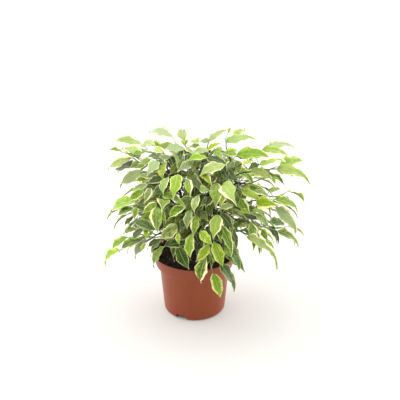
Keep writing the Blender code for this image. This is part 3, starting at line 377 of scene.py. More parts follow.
class Leaf:
    """One leaf: the node it grows from, where its blade starts and ends, and which way it faces."""

    def __init__(self, node, base, tip, width, normal, age, outline=BLADE):
        self.node = node
        self.base = base
        self.tip = tip
        self.width = width
        self.age = age
        self.outline = outline
        self.splash = 0.0
        self.along = (tip - base).normalized()
        self.normal = across(self.along, normal)
        self.side = self.normal.cross(self.along)
        self.length = (tip - base).length

    def place(self, share, reach):
        """A place on the blade: share runs from stalk to tip, reach from the rib to the two edges."""
        half = abs(reach) * self.width / 2
        fold = LEAF_FOLD[self.age]
        wave = LEAF_WAVE * self.length * math.sin(WAVE_RATE * share + WAVE_STARTS[reach > 0]) * abs(reach)
        lift = LEAF_ARCH * 4 * share * (1 - share) * self.length + half * math.sin(fold) + wave
        sideways = math.copysign(half * math.cos(fold), reach)
        return self.base + self.along * (share * self.length) + self.side * sideways + self.normal * lift

    def rings(self, margin=0.0):
        """The blade's outline in rings of four: an edge, the rib on top, the other edge, the rib below."""
        thick = LEAF_THICKNESS / 2 + margin
        slimmest = PETIOLE_RADIUS / (self.width / 2)
        made = []
        for share, reach in self.outline:
            middle = self.place(share, 0.0)
            half = max(reach, slimmest) + margin / (self.width / 2)
            made.append([self.place(share, half), middle + self.normal * thick,
                         self.place(share, -half), middle - self.normal * thick])
        turning = ((self.base - self.node).normalized() + self.along).normalized()
        neck_side = across(turning, self.side) * (PETIOLE_RADIUS + margin)
        neck_up = turning.cross(neck_side)
        made[0] = [self.base + neck_side, self.base + neck_up, self.base - neck_side, self.base - neck_up]
        return made

    def solid(self, margin=0.0):
        """The stalk and blade as a closed body of their own, thicker by margin."""
        stalk = (self.base - self.node).normalized()
        stalk_side = across(stalk, self.side)
        stalk_up = stalk.cross(stalk_side)
        radius = PETIOLE_RADIUS + margin
        root = self.node
        rings = [[root + stalk_side * radius, root + stalk_up * radius,
                  root - stalk_side * radius, root - stalk_up * radius]] + self.rings(margin)
        points = [point for ring in rings for point in ring] + [self.tip + self.along * margin]
        return points, [(0, 2, 1), (0, 3, 2)] + blade_faces(0, len(rings))


def blade_faces(low, count):
    """The triangles of a leaf of so many rings of four and a tip, each half split alike above and below."""
    faces = []
    for _ in range(count - 1):
        for corner in range(4):
            a, b = low + corner, low + (corner + 1) % 4
            from_edge = corner % 2 == 0
            faces += [(a, b, b + 4), (a, b + 4, a + 4)] if from_edge else [(a, b, a + 4), (b, b + 4, a + 4)]
        low += 4
    return faces + [(low + corner, low + (corner + 1) % 4, low + 4) for corner in range(4)]


class Spray:
    """One twig of a cutting: the places that it runs through, and the leaves at those that bear one."""

    def __init__(self, stem, path, spares=()):
        self.stem = stem
        self.path = path
        self.runs = [direction(path, index) for index in range(len(path))]
        self.spares = set(spares)
        self.leaves = {}

    def without_spares(self):
        """This spray less the spare places, halfway along straight runs, that no leaf has grown from."""
        bare = self.spares - set(self.leaves)
        kept = [index for index in range(len(self.path)) if index not in bare]
        trimmed = Spray(self.stem, [self.path[index] for index in kept])
        trimmed.runs = [self.runs[index] for index in kept]
        trimmed.leaves = {kept.index(index): leaf for index, leaf in self.leaves.items()}
        return self if crosses_itself(*trimmed.body()) else trimmed

    def body(self):
        """The twig and its leaves as one closed body: each leaf is drawn out of a side of the twig."""
        points, faces, rings, stalks = [], [], [], []
        reference, phase = Vector((1.0, 0.0, 0.0)), 0.0
        third = 2 * math.pi / TWIG_SIDES
        for index, (place, run, radius) in enumerate(zip(self.path, self.runs, twig_radii(self.path))):
            reference = across(run, reference)
            other = run.cross(reference)
            leaf = self.leaves.get(index)
            if leaf:
                stalk = leaf.base - place
                wanted = math.atan2(stalk.dot(other), stalk.dot(reference)) - third / 2
                turns = round((wanted - phase) / third)
                phase = wanted - turns * third
                stalks.append((len(rings), turns % TWIG_SIDES, leaf))
            for offset in ((-NODE_HALF, NODE_HALF) if leaf else (0.0,)):
                rings.append(len(points))
                for corner in range(TWIG_SIDES):
                    angle = phase + third * corner
                    spoke = reference * math.cos(angle) + other * math.sin(angle)
                    points.append(place + run * offset + spoke * radius)
        drawn_out = {(ring, side) for ring, side, _ in stalks}
        for ring in range(len(rings) - 1):
            for corner in range(TWIG_SIDES):
                a, b = rings[ring] + corner, rings[ring] + (corner + 1) % TWIG_SIDES
                if (ring, corner) not in drawn_out:
                    faces += [(a, b, b + TWIG_SIDES), (a, b + TWIG_SIDES, a + TWIG_SIDES)]
        faces += [(0, 2, 1), (rings[-1], rings[-1] + 1, rings[-1] + 2)]
        for ring, side, leaf in stalks:
            a, b = rings[ring] + side, rings[ring] + (side + 1) % TWIG_SIDES
            opening = [a, b, b + TWIG_SIDES, a + TWIG_SIDES]
            first = len(points)
            blade = leaf.rings()
            points += [point for outline in blade for point in outline] + [leaf.tip]
            turn = min(range(4), key=lambda shift: sum(
                (points[opening[(corner + shift) % 4]] - blade[0][corner]).length for corner in range(4)))
            for corner in range(4):
                c, d = opening[(corner + turn) % 4], opening[(corner + 1 + turn) % 4]
                e, f = first + (corner + 1) % 4, first + corner
                faces += [(c, d, e), (c, e, f)]
            faces += blade_faces(first, len(blade))
        return points, faces


def direction(path, index):
    """The way that a path runs at one of its places."""
    return (path[min(index + 1, len(path) - 1)] - path[max(index - 1, 0)]).normalized()


def tube(path, radii, sides):
    """A closed run of wood through the places of a path, as triangles."""
    points, faces = [], []
    reference = Vector((1.0, 0.0, 0.0))
    for index, place in enumerate(path):
        run = direction(path, index)
        reference = across(run, reference)
        other = run.cross(reference)
        for corner in range(sides):
            angle = 2 * math.pi * corner / sides
            points.append(place + (reference * math.cos(angle) + other * math.sin(angle)) * radii[index])
    for ring in range(len(path) - 1):
        for corner in range(sides):
            a, b = ring * sides + corner, ring * sides + (corner + 1) % sides
            faces += [(a, b, b + sides), (a, b + sides, a + sides)]
    last = (len(path) - 1) * sides
    for corner in range(1, sides - 1):
        faces += [(0, corner + 1, corner), (last, last + corner, last + corner + 1)]
    return points, faces


class Thicket:
    """The bodies that have grown so far, kept so that a new one can be grown clear of them."""

    def __init__(self):
        self.grown = []

    def add(self, owner, points, faces):
        """Keep a body, under the stem, spray or leaf that it is."""
        self.grown.append((owner, reach_of(points), BVHTree.FromPolygons(points, faces)))

    def add_twig(self, spray):
        """Keep a spray's twig, a little thicker than it is."""
        radii = [radius + SHED_MARGIN for radius in twig_radii(spray.path)]
        self.add(spray, *tube(spray.path, radii, TWIG_SIDES))

    def touches(self, points, faces, allowed):
        """Whether a body crosses one whose owner isn't allowed."""
        box = reach_of(points)
        tree = None
        for owner, other, other_tree in self.grown:
            if any(box[i][0] > other[i][1] or other[i][0] > box[i][1] for i in range(3)):
                continue
            if allowed(owner):
                continue
            tree = tree or BVHTree.FromPolygons(points, faces)
            if tree.overlap(other_tree):
                return True
        return False

    def has_room(self, leaf, spray, index):
        """Whether a leaf is clear of everything, and grows from its own twig without a fold."""
        stalk = leaf.base - leaf.node
        steepness = abs(stalk.normalized().dot(spray.runs[index]))
        if steepness > STEEPEST_STALK or stalk.length < SHORTEST_STALK:
            return False
        if self.touches(*leaf.solid(SHED_MARGIN), lambda owner: owner is spray):
            return False
        with_leaf = Spray(spray.stem, spray.path)
        with_leaf.leaves = {**spray.leaves, index: leaf}
        return not crosses_itself(*with_leaf.body())


def crosses_itself(points, faces):
    """Whether two faces of a body cross that share no corner."""
    tree = BVHTree.FromPolygons(points, faces)
    return any(a < b and not set(faces[a]) & set(faces[b]) for a, b in tree.overlap(tree))


def reach_of(points):
    """The lowest and highest of some points along each axis."""
    return [(min(point[i] for point in points), max(point[i] for point in points)) for i in range(3)]


def stem_path(name):
    """The places that a stem runs through, straight in the soil and curved above it."""
    (x, y), *bends = STEMS[name]
    path = [Vector((x, y, SOIL_TOP - STEM_DEPTH + GAP)), Vector((x, y, SOIL_TOP + STEM_NECK))]
    knots = [path[1]] + [Vector(bend) for bend in bends]
    for index in range(1, len(knots)):
        path.append((knots[index - 1] + knots[index]) / 2 + STEM_SWAY)
        path.append(knots[index])
    return path


def stem_radii(path):
    """A stem's radius at each place of its path."""
    top = path[-1].z
    share = [max(0.0, (place.z - SOIL_TOP) / (top - SOIL_TOP)) for place in path]
    return [STEM_RADIUS + (STEM_TIP_RADIUS - STEM_RADIUS) * value for value in share]


def stem_place(path, height):
    """The middle of a stem at a height."""
    for low, high in zip(path[1:], path[2:]):
        if height <= high.z:
            return low.lerp(high, max(0.0, (height - low.z) / (high.z - low.z)))
    return path[-1].copy()


def twig_start(path, first):
    """Where a twig that reaches for a place leaves its stem: lower down, as the place is further out."""
    level = Vector((first.x - path[-1].x, first.y - path[-1].y)).length
    height = first.z - TWIG_RISE * level
    return stem_place(path, min(max(height, SOIL_TOP + LOWEST_FORK), path[-1].z - FORK_BELOW_TIP))


def twig_path(start, nodes):
    """A twig from its stem through its nodes, rising to the first in a low arch, with a bud at its end."""
    arch = start.lerp(nodes[0], 0.5) + Vector((0.0, 0.0, TWIG_ARCH * (nodes[0] - start).length))
    arch.z = max(arch.z, min(start.z, RIM_CLEARANCE + ARCH_CLEARANCE))
    return ended_in_bud([start, arch] + nodes)


def ended_in_bud(path):
    """A path with one more place, just past its last node."""
    return path + [path[-1] + (path[-1] - path[-2]).normalized() * BUD_LENGTH]


def twig_radii(path):
    """A twig's radius at each place of its path."""
    last = len(path) - 1
    return [TWIG_RADIUS + (TWIG_TIP_RADIUS - TWIG_RADIUS) * index / last for index in range(last + 1)]


def sighted_leaf(node, shape, deeper, size, turn):
    """A front leaf, from where it shows in the picture, moved away from the eye, resized and turned."""
    x, y, tip_x, tip_y, shown_width, age = shape
    base_depth = crown_depth(x, y) + BASE_DEPTH + deeper
    tip_depth = crown_depth(tip_x, tip_y) + deeper
    base = sighted(x, y, base_depth)
    scale = base_depth / VIEW_FOCAL
    shown_length = math.hypot(tip_x - x, tip_y - y) * scale
    width = shown_width * scale
    if width * LEAF_SLENDERNESS * FORESHORTENED > shown_length:
        turned = math.sqrt((width * LEAF_SLENDERNESS) ** 2 - shown_length ** 2)
        tip_depth = base_depth + (turned if tip_y < y else -turned)
    tip = sighted(tip_x, tip_y, tip_depth)
    if (tip - base).length > LONGEST_LEAF:
        tip = sighted(tip_x, tip_y, base_depth + (tip_depth - base_depth) * LONG_LEAF_DEPTH)
    tip = base.lerp(tip, size)
    true_width = max(width, (tip - base).length / LEAF_SLENDERNESS) * size
    along = (tip - base).normalized()
    facing = across(along, EYE - base)
    roll = math.acos(min(1.0, width / true_width)) * ROLL_SHARE + turn
    sideways = along.cross(facing)
    wanted = outward_from_crown(base) * FACING_OUT + Vector((0.0, 0.0, FACING_UP))
    choices = [facing * math.cos(roll) + sideways * math.sin(roll) * hand for hand in (1, -1)]
    normal = max(choices, key=lambda choice: choice.dot(wanted))
    return Leaf(node, base, tip, true_width, normal, age, HIDDEN_BLADE if age in SHADED else BLADE)


def leaf_foot(shape):
    """Where a front leaf's petiole would meet its twig: a petiole's length into the crown."""
    x, y, _, _, _, age = shape
    base = sighted(x, y, crown_depth(x, y) + BASE_DEPTH + (SHADE_DEPTH if age in SHADED else 0.0))
    heart = Vector((TWIG_HEART[0], 0.0, TWIG_HEART[1] + TWIG_HEART[2] * base.z))
    return base + (heart - base).normalized() * PETIOLE_REACH


def spray_nodes(path, shapes, rounds):
    """The start of a front spray's twig, its leaves in order outwards and the evened nodes for them."""
    start = twig_start(path, leaf_foot(shapes[0]))
    shapes = sorted(shapes, key=lambda shape: (leaf_foot(shape) - start).length)
    nodes = [leaf_foot(shape) for shape in shapes]
    for _ in range(rounds):
        before = [start.lerp(nodes[0], EVENED_SHARE)] + nodes[:-1]
        after = nodes[1:] + nodes[-1:]
        nodes = [node * EVENED_SHARE + (low + high) * ((1 - EVENED_SHARE) / 2)
                 for low, node, high in zip(before, nodes, after)]
    spread = []
    for node in nodes:
        last = spread[-1] if spread else start.lerp(node, 0.5)
        if (node - last).length < NODE_SPACING:
            way = (node - start).normalized()
            node = last + ((node - last).normalized() + way).normalized() * NODE_SPACING
        spread.append(node)
    return start, shapes, spread


def front_spray(stem, path, shapes, thicket):
    """A front spray with no leaves yet, its twig evened until it runs without a fold."""
    for rounds in TWIG_EVENINGS:
        start, shapes, nodes = spray_nodes(path, shapes, rounds)
        twig = clear_twig(twig_path(start, nodes), thicket, stem)
        if twig:
            spray = Spray(stem, *with_spares(twig))
            if not crosses_itself(*spray.body()):
                return spray, shapes
    return None, shapes


def grow_front(table, paths, thicket):
    """Grow the sprays of a table of those that show from the front."""
    sprays, waiting = [], []
    for stem, listed in table.items():
        for shapes in listed.values():
            spray, shapes = front_spray(stem, paths[stem], shapes, thicket)
            if spray:
                sprays.append(spray)
                thicket.add_twig(spray)
                waiting += [(shape[5] in SHADED, spray, FIRST_NODE + 2 * index, shape)
                            for index, shape in enumerate(shapes)]
    waiting.sort(key=lambda entry: entry[0])
    for is_shaded, spray, index, shape in waiting:
        free = [other for other in range(2, len(spray.path) - 1) if other not in spray.leaves]
        free = sorted(free, key=lambda other: abs(other - index))[:NODES_TRIED]
        for (size, turn), shift, at in itertools.product(FRONT_FITS, FRONT_SHIFTS, free):
            deeper = shift + (SHADE_DEPTH if is_shaded else 0.0)
            leaf = sighted_leaf(spray.path[at], shape, deeper, size, turn)
            if thicket.has_room(leaf, spray, at):
                leaf.splash = ONE_SIDED_CREAM.get(shape[:2], 0.0)
                spray.leaves[at] = leaf
                thicket.add(leaf, *leaf.solid())
                break
    return [spray.without_spares() for spray in sprays]


def with_spares(path):
    """A twig's path with a spare place before each node, and the indices of those places."""
    start, arch, *nodes, bud = path
    places = [start, arch]
    for node in nodes:
        places += [(places[-1] + node) / 2, node]
    return places + [bud], range(2, len(places), 2)


def clear_twig(path, thicket, stem):
    """A twig's path, bent clear of the other cuttings where it must be, or nothing where it can't be."""
    shifts = [Vector((0.0, 0.0, 0.0))]
    for reach, turn in itertools.product(TWIG_BENDS, range(TWIG_BEND_TURNS)):
        angle = turn * 2 * math.pi / TWIG_BEND_TURNS
        shifts.append(Vector((math.cos(angle) * reach, 0.0, math.sin(angle) * reach)))
    for shift in shifts:
        bent = [path[0], path[1] + shift] + [place + shift * TWIG_BEND_SHARE for place in path[2:]]
        body = tube(bent, [radius + SHED_MARGIN for radius in twig_radii(bent)], TWIG_SIDES)
        if not thicket.touches(*body, lambda owner: getattr(owner, "stem", owner) == stem):
            return bent
    return None


def grow_hidden(paths, thicket, count, scale, per_spray, rng, skip_front):
    """Grow sprays by rule: spread evenly over the crown, each arching out and down from its cutting."""
    sprays = []
    toward_eye = -picture_axes()[0]
    golden = math.pi * (3 - math.sqrt(5))
    for index in range(count):
        level = 1 - (1 - LOWEST_SPRAY) * (index + 0.5) / count
        ring = math.sqrt(1 - level * level)
        heading = Vector((math.cos(golden * index) * ring, math.sin(golden * index) * ring, level))
        if skip_front and heading.dot(toward_eye) > FRONT_FACING:
            continue
        target = CROWN_MIDDLE + Vector([heading[i] * CROWN_REACH[i] * scale for i in range(3)])
        if math.hypot(target.x, target.y) < POT_CLEARANCE + HIDDEN_CLEARANCE:
            target.z = max(target.z, RIM_CLEARANCE + HIDDEN_CLEARANCE)
        stem = min(paths, key=lambda name: (paths[name][-1] - target).length)
        start = twig_start(paths[stem], target)
        outward = Vector((target.x - start.x, target.y - start.y, 0.0))
        is_upright = outward.length <= UPRIGHT_REACH
        outward = Vector((heading.x, heading.y, UPRIGHT_RISE)) if is_upright else outward.normalized()
        sideways = outward.cross(Vector((0.0, 0.0, 1.0))).normalized()
        span = (target - start).length
        nodes = []
        for step in range(per_spray):
            share = HIDDEN_BARE + (1 - HIDDEN_BARE) * step / (per_spray - 1)
            arch = Vector((0.0, 0.0, HIDDEN_ARCH * span * share * (1 - share)))
            kink = sideways * (HIDDEN_KINK * (-1) ** step)
            nodes.append(start.lerp(target, share) + arch + kink)
        path = clear_twig(twig_path(start, nodes), thicket, stem)
        if path is None:
            continue
        spray = Spray(stem, path)
        for step in range(per_spray):
            leaf = ruled_leaf(spray, step + 2, outward, sideways, per_spray, thicket, rng)
            if leaf:
                spray.leaves[step + 2] = leaf
                thicket.add(leaf, *leaf.solid())
        if spray.leaves:
            grown = Spray(stem, ended_in_bud(path[:max(spray.leaves) + 1]))
            grown.leaves = spray.leaves
            sprays.append(grown)
            thicket.add_twig(grown)
    return sprays


def ruled_leaf(spray, index, outward, sideways, per_spray, thicket, rng):
    """A leaf of a hidden spray, on alternate sides, drooping, turned until it is clear."""
    node = spray.path[index]
    at_end = index == per_spray + 1
    for attempt in range(HIDDEN_TRIES):
        length = rng.uniform(*LEAF_LENGTHS)
        side = sideways * ((-1) ** index * (END_SPREAD if at_end else rng.uniform(*HIDDEN_SPREAD)))
        droop = rng.uniform(*HIDDEN_DROOP) + DROOP_STEP * attempt
        way = (outward * rng.uniform(*HIDDEN_REACH) + side + Vector((0.0, 0.0, -droop))).normalized()
        lifted = (way + Vector((0.0, 0.0, HIDDEN_LIFT))).normalized()
        base = node + lifted * rng.uniform(*HIDDEN_STALK)
        tip = base + way * length
        turn = rng.uniform(-HIDDEN_TURN, HIDDEN_TURN)
        facing = outward * HIDDEN_SPREAD[0] + Vector((0.0, 0.0, 1.0)) + sideways * turn
        age = "Y" if at_end and rng.random() < YOUNG_SHARE else rng.choice(HIDDEN_AGES)
        leaf = Leaf(node, base, tip, length / LEAF_SLENDERNESS, facing, age, HIDDEN_BLADE)
        ends = [leaf.place(share, 0.0) for share in TESTED_SHARES]
        if any(crown_value(place) == 0.0 for place in ends) or tip.z < LOWEST_TIP:
            continue
        if thicket.has_room(leaf, spray, index):
            return leaf
    return None


def pot_guard():
    """A plain drum round the pot that no leaf may enter."""
    return tube([Vector((0.0, 0.0, GUARD_MARGIN / 2)), Vector((0.0, 0.0, POT_HEIGHT + GUARD_MARGIN / 2))],
                [RIM_RADIUS + GUARD_MARGIN] * 2, GUARD_SIDES)


def grow():
    """Grow the plant as its solids have it: its stems and sprays, each clear of the other cuttings."""
    rng = random.Random(GROWTH_SEED)
    thicket = Thicket()
    thicket.add("pot", *pot_guard())
    paths = {name: stem_path(name) for name in STEMS}
    for name, path in paths.items():
        radii = [radius + SHED_MARGIN for radius in stem_radii(path)]
        thicket.add(name, *tube(path[1:], radii[1:], STEM_SIDES))
    sprays = grow_front(FRONT_SPRAYS, paths, thicket)
    sprays += grow_hidden(paths, thicket, BACK_SPRAYS, BACK_SCALE, BACK_LEAVES, rng, True)
    sprays += grow_hidden(paths, thicket, INNER_SPRAYS, INNER_SCALE, INNER_LEAVES, rng, False)
    return rng, thicket, paths, sprays


# Sprays that fill the crown, which the solids leave out: how far out they reach as a share of the crown,
# how many are tried, how many leaves each has, and the age of those leaves or none for a mixture
FILLING = ((0.84, 64, 6, ""), (0.74, 90, 6, "S"), (0.60, 80, 6, "S"), (0.46, 50, 6, "O"),
           (0.30, 24, 5, "O"))
FILLING_MARGIN = 0.0003
# The part of the crown, as a share of it, and of the picture that filling leaves keep to, so that the
# crown's edge stays as it is on the solids
FILLED_SHARE = 0.76
FILLED_MIDDLE = (185.0, 192.0)
FILLED_REACH = (60.0, 50.0)
# The stretch of bare stem that shows from the front, in the picture, and how far forward it stands
SHOWN_STEM_MIDDLE = (180.5, 190.0)
SHOWN_STEM_REACH = (8.0, 15.0)
SHOWN_STEM_FRONT = -0.006

# Leaves that close the crown behind its front ones, and between them at the upper left, listed as the
# front sprays are
CLOSING_SPRAYS = {
    "leafy_stem_left": {
        "inside the left": [(158, 168, 146, 171, 8, "P"), (153, 174, 139, 177, 8, "P"),
                            (146, 175, 134, 182, 8, "G")],
        "top left": [(170, 157, 158, 157, 6, "P"), (164, 153, 151, 149, 6, "P"),
                     (158, 154, 147, 159, 7, "G"), (160, 148, 149, 144, 5, "Y"),
                     (150, 159, 138, 164, 7, "P"), (142, 152, 130, 157, 7, "G")],
    },
    "leafy_stem_front": {
        "across the stems": [(203, 201, 196, 214, 7, "S"), (205, 212, 200, 226, 7, "S"),
                             (197, 214, 203, 228, 7, "S"), (203, 225, 197, 241, 7, "O"),
                             (197, 233, 203, 249, 7, "O"), (192, 203, 186, 215, 7, "S"),
                             (201, 242, 196, 256, 7, "O"), (192, 240, 199, 253, 6, "S")],
        "beside the stems": [(207, 205, 213, 217, 7, "S"), (209, 232, 204, 244, 6, "O"),
                             (212, 196, 205, 208, 7, "O"), (224, 214, 218, 227, 7, "O")],
    },
    "leafy_stem_middle": {
        "inside the top": [(177, 165, 168, 176, 8, "S"), (170, 157, 174, 170, 8, "O"),
                           (184, 160, 178, 173, 8, "S"), (190, 154, 185, 165, 8, "O"),
                           (198, 160, 192, 171, 8, "S"), (205, 163, 201, 174, 8, "O")],
        "inside the right": [(216, 158, 211, 168, 8, "O"), (224, 170, 229, 181, 8, "O"),
                             (232, 162, 226, 172, 8, "S"), (214, 176, 208, 186, 8, "O")],
    },
}

# How a leaf of each age looks, all as shares: how young it is, how pale, partly as a painted sheen,
# how dark, partly as an old leaf is and partly as painted shade deep in the crown, and how wide its cream
# margin is
LEAF_LOOKS = {
    "G": (0.12, 0.15, 0.00, 0.046),
    "P": (0.10, 0.55, 0.00, 0.066),
    "Y": (0.95, 0.20, 0.00, 0.062),
    "S": (0.05, 0.00, 0.70, 0.038),
    "O": (0.00, 0.00, 1.00, 0.040),
}
# How far leaves differ: how bright, how pale and how wide-margined they are against others of their age,
# how much darker the deepest in the crown are, partly with age and partly as painted shade, and how
# lopsided the cream of one can be
TONES = (0.70, 1.24)
PALENESSES = (0.2, 1.5)
MARGINS = (0.3, 1.7)
AGE_AND_SHADE_DARKENING = 0.2
SPLASH = 0.7
# Leaves at the top of the crown are paler and brighter than those this far below it, as a painted sheen
# and painted light
TOP_HEIGHT = 0.26
PALE_DEPTH = 0.10
TOP_PAINTED_LIGHT = 0.42
TOP_PAINTED_SHEEN = 0.65

# Front leaves whose cream is laid on one side, by where the blade starts in the picture. A share above
# zero widens it on the leaf's own right, seen with its stalk up.
ONE_SIDED_CREAM = {
    (156, 207): -0.55, (223, 184): -0.60, (240, 199): 0.50, (257, 204): -0.75, (277.5, 231): 0.30,
    (201, 174): 0.45, (206, 257): 0.50, (163, 199): -0.20, (218, 215): 0.25, (147, 151): 0.40,
    (216, 183.5): 0.20, (244, 215): 0.45, (250.5, 223): 0.30, (276, 208): 0.25, (247, 236.5): 0.25,
}

# Wood: twigs are slimmer than on the solids, swell where they bear a leaf and turn green late along their
# length. A stalk bends up in its middle and runs on as a rib under the blade, with a radius at each of its
# places there. The last three are how many steps a strand takes from one of its places to the next.
TWIG_SLIMNESS = 0.72
SWOLLEN_NODE = 1.15
BARE_NODE = 0.9
BUD_POINT = 0.0001
GREENING = 3
STALK_MIDDLE = 0.55
STALK_BEND = 0.0006
STALK_TAPER = (1.0, 0.9, 0.8)
RIB_SHARES = (0.12, 0.30, 0.50, 0.68)
RIB_RADII = (0.0004, 0.00032, 0.00022, 0.0001)
RIB_DROP = 0.0002
STEM_STEPS = 6
TWIG_STEPS = 3
STALK_STEPS = 2

# Pot and soil, where they are finer than their solids: the steps round each rounding and up the wall, then
# the drain holes' sides, the notches' corners and the soil's facets, clods and crumbs
CORNER_STEPS = 8
WALL_STEPS = 8
FILLET_STEPS = 4
RIM_STEPS = 8
BEND_STEPS = 6
DRAIN_HOLE_SIDES = 24
NOTCH_ARCH = ((-1.0, -CUT_PAST), (1.0, -CUT_PAST), (0.97, NOTCH_HEIGHT * 0.8), (0.88, NOTCH_HEIGHT),
              (-0.88, NOTCH_HEIGHT), (-0.97, NOTCH_HEIGHT * 0.8))
SOIL_SIDES = 120
SOIL_RINGS = 26
CLOD = 0.009
CLOD_CRUMB = 0.003
CRUMB_SEED = 5
GRAIN_SEED = 9
GRAIN_SHARE = 0.8
# How crumbs are turned at most, and the least and most that they are of the largest one along each axis
CRUMB_TURNS = (6.3, 6.3, 6.3)
CRUMB_SHARES = ((0.25, 0.25, 0.2), (1.0, 0.8, 0.6))

# A blade's form: how far apart the waves of two leaves can start, how fast notches and ripples follow each
# other, where the drip tip starts, how fast a blade thickens from it, and how rows crowd to the ends
SEED_SPREAD = 40.0
NOTCH_RATE = 17.0
RIPPLE_RATE = 21.0
DRIP_TIP = 0.7
THICKENING = 3.0
CROWDING = -0.07
WELD = 0.00002

# Patterns. Those of the leaf are counted along the blade, whose usual length is 33 mm: streaks of about
# 3 mm, patches of 7 mm, and side veins 4 mm apart, which is as close as the render can show. The others
# are in metres, and as large as real ones but for lenticels and mould grain, which are about twice that.
STREAKS = 10.0
PATCHES = 4.5
VEINS = 17.0
VEIN_SLANT = -2.6
STREAK_SLANT = -0.16
HALF_WIDTH = 0.16
PATTERNS_APART = 50.0
LENTICEL = 0.001
STALK_STREAK = 0.004
FLOW_MARK = 0.018
FLOW_SHAPE = (1.0, 1.0, 0.35)
MOULD_GRAIN = 0.0008
CRUMB_MOTTLE = 0.003
TABLE_CLOUD = 0.4

# The table top's painted glow, which lifts the plant's shadow, fades in from this far out to that, as
# shares of the foot's radius
GLOW_STARTS = 0.85
GLOW_FULL = 1.1
KEY_PLACE = Vector((-0.25, 0.15, 1.4))
# How bright the room is at the height of the plant, as a share of its sky
LEVEL_SHARE = 0.8
SHARP_ABOVE = math.radians(50)
POT_SHARP_ABOVE = math.radians(40)
SMOOTH = {"interpolation_type": "SMOOTHSTEP"}
# Kinds of node that are added often
MATH = "ShaderNodeMath"
VECTOR_MATH = "ShaderNodeVectorMath"
MIX = "ShaderNodeMix"
MAP_RANGE = "ShaderNodeMapRange"
NOISE = "ShaderNodeTexNoise"
COORDINATES = "ShaderNodeTexCoord"
NAMED = "GeometryNodeInputNamedAttribute"
# A Mix node takes two colours by its inputs 6 and 7 and gives the mixed one by its third output. A Map
# Range node's inputs 1 and 2 are the values that become those of its inputs 3 and 4, or else 0 and 1.
RGBA = {"data_type": "RGBA", "out": 2}
BODY = "root"


def linear(shade):
    """An sRGB hex colour as the linear values that shaders read."""
    channels = [int(shade[start:start + 2], 16) / 255 for start in (1, 3, 5)]
    return [value / 12.92 if value <= 0.04045 else ((value + 0.055) / 1.055) ** 2.4 for value in channels]


def a_colour(name, description, shade):
    """A colour that a user can change."""
    return bpy.props.FloatVectorProperty(name=name, description=description, default=linear(shade),
                                         subtype="COLOR", size=3, min=0.0, max=1.0)


def a_length(name, description, metres):
    """A length that a user can change."""
    return bpy.props.FloatProperty(name=name, description=description, default=metres, min=0.0,
                                   unit="LENGTH", precision=5)


def a_share(name, description, value):
    """A share of something that a user can change."""
    return bpy.props.FloatProperty(name=name, description=description, default=value, min=0.0,
                                   subtype="FACTOR", soft_max=1.0)


def a_strength(name, description, value):
    """A plain number that a user can change."""
    return bpy.props.FloatProperty(name=name, description=description, default=value, min=0.0)


def an_angle(name, description, degrees):
    """An angle that a user can change."""
    return bpy.props.FloatProperty(name=name, description=description, default=math.radians(degrees),
                                   min=0.0, subtype="ANGLE")


def a_count(name, description, value):
    """A count that a user can change."""
    return bpy.props.IntProperty(name=name, description=description, default=value, min=1)


class FigLeafSettings(bpy.types.PropertyGroup):
    """Sizes and colours of the leaves."""

    thickness: a_length("Thickness", "Thickness of a blade at its rib", 0.0006)
    steps: a_count("Steps along", "Rows of faces from stalk to tip", 14)
    ripple: a_share("Ripple", "Depth of the margin's small waves, as a share of the leaf's length", 0.028)
    notching: a_share("Notching", "How unevenly wide a blade is, as a share of its width", 0.09)
    bow: a_share("Bow", "How far a blade bows sideways at most, as a share of its length", 0.05)
    droop: a_share("Tip droop", "How far the drip tip hangs, as a share of the leaf's length", 0.5)
    green: a_colour("Green", "Body of a grown leaf", "#43680B")
    grey: a_colour("Grey green", "Washed part of a grown leaf", "#80974C")
    haze: a_colour("Haze", "Grey sheen of the palest leaves", "#8A9A78")
    # Dark green is also laid, as painted shade, over leaves deep in the crown
    dark: a_colour("Dark green", "Heart of a grown leaf, and all of an old one deep inside", "#1D300A")
    cream: a_colour("Cream", "Margin of a grown leaf", "#DDE0A2")
    lime: a_colour("Lime", "Heart of a young leaf", "#739A0E")
    fresh: a_colour("Fresh green", "Washed part of a young leaf", "#A0BB44")
    butter: a_colour("Butter", "Margin of a young leaf", "#D4DD8C")
    rib: a_colour("Rib", "Stalks and ribs", "#A2B366")


class FigWoodSettings(bpy.types.PropertyGroup):
    """Sizes and colours of the stems and twigs."""

    stem_sides: a_count("Stem sides", "Facets round a stem", 14)
    twig_sides: a_count("Twig sides", "Facets round a twig", 7)
    stalk_sides: a_count("Stalk sides", "Facets round a leaf stalk", 5)
    bud: a_length("Bud", "Length of the pointed bud at a twig's end", 0.0060)
    bark: a_colour("Bark", "Old bark", "#30241A")
    ash: a_colour("Ash", "Weathered bark and lenticels", "#66563F")
    shoot: a_colour("Shoot", "Green bark of new growth", "#86944C")


class FigPotSettings(bpy.types.PropertyGroup):
    """Sizes and colours of the pot and its soil."""

    sides: a_count("Sides", "Facets round the pot", 144)
    fillet: a_length("Fillet", "Rounding of the ledge under the rim band", 0.0012)
    crumbs: a_count("Crumbs", "Soil crumbs for each square metre", 95000)
    grains: a_count("Grains", "Perlite grains for each square metre", 3200)
    crumb: a_length("Crumb", "Radius of the largest soil crumb", 0.0017)
    terracotta: a_colour("Terracotta", "Polypropylene of the pot", "#863504")
    faded: a_colour("Faded", "Paler marks left by the mould", "#8F4010")
    peat: a_colour("Peat", "Dark moist soil", "#120C09")
    bark_chip: a_colour("Bark chip", "Reddish bits of bark in the soil", "#5E3E2C")
    perlite: a_colour("Perlite", "Pale grains in the soil", "#B9AE9C")


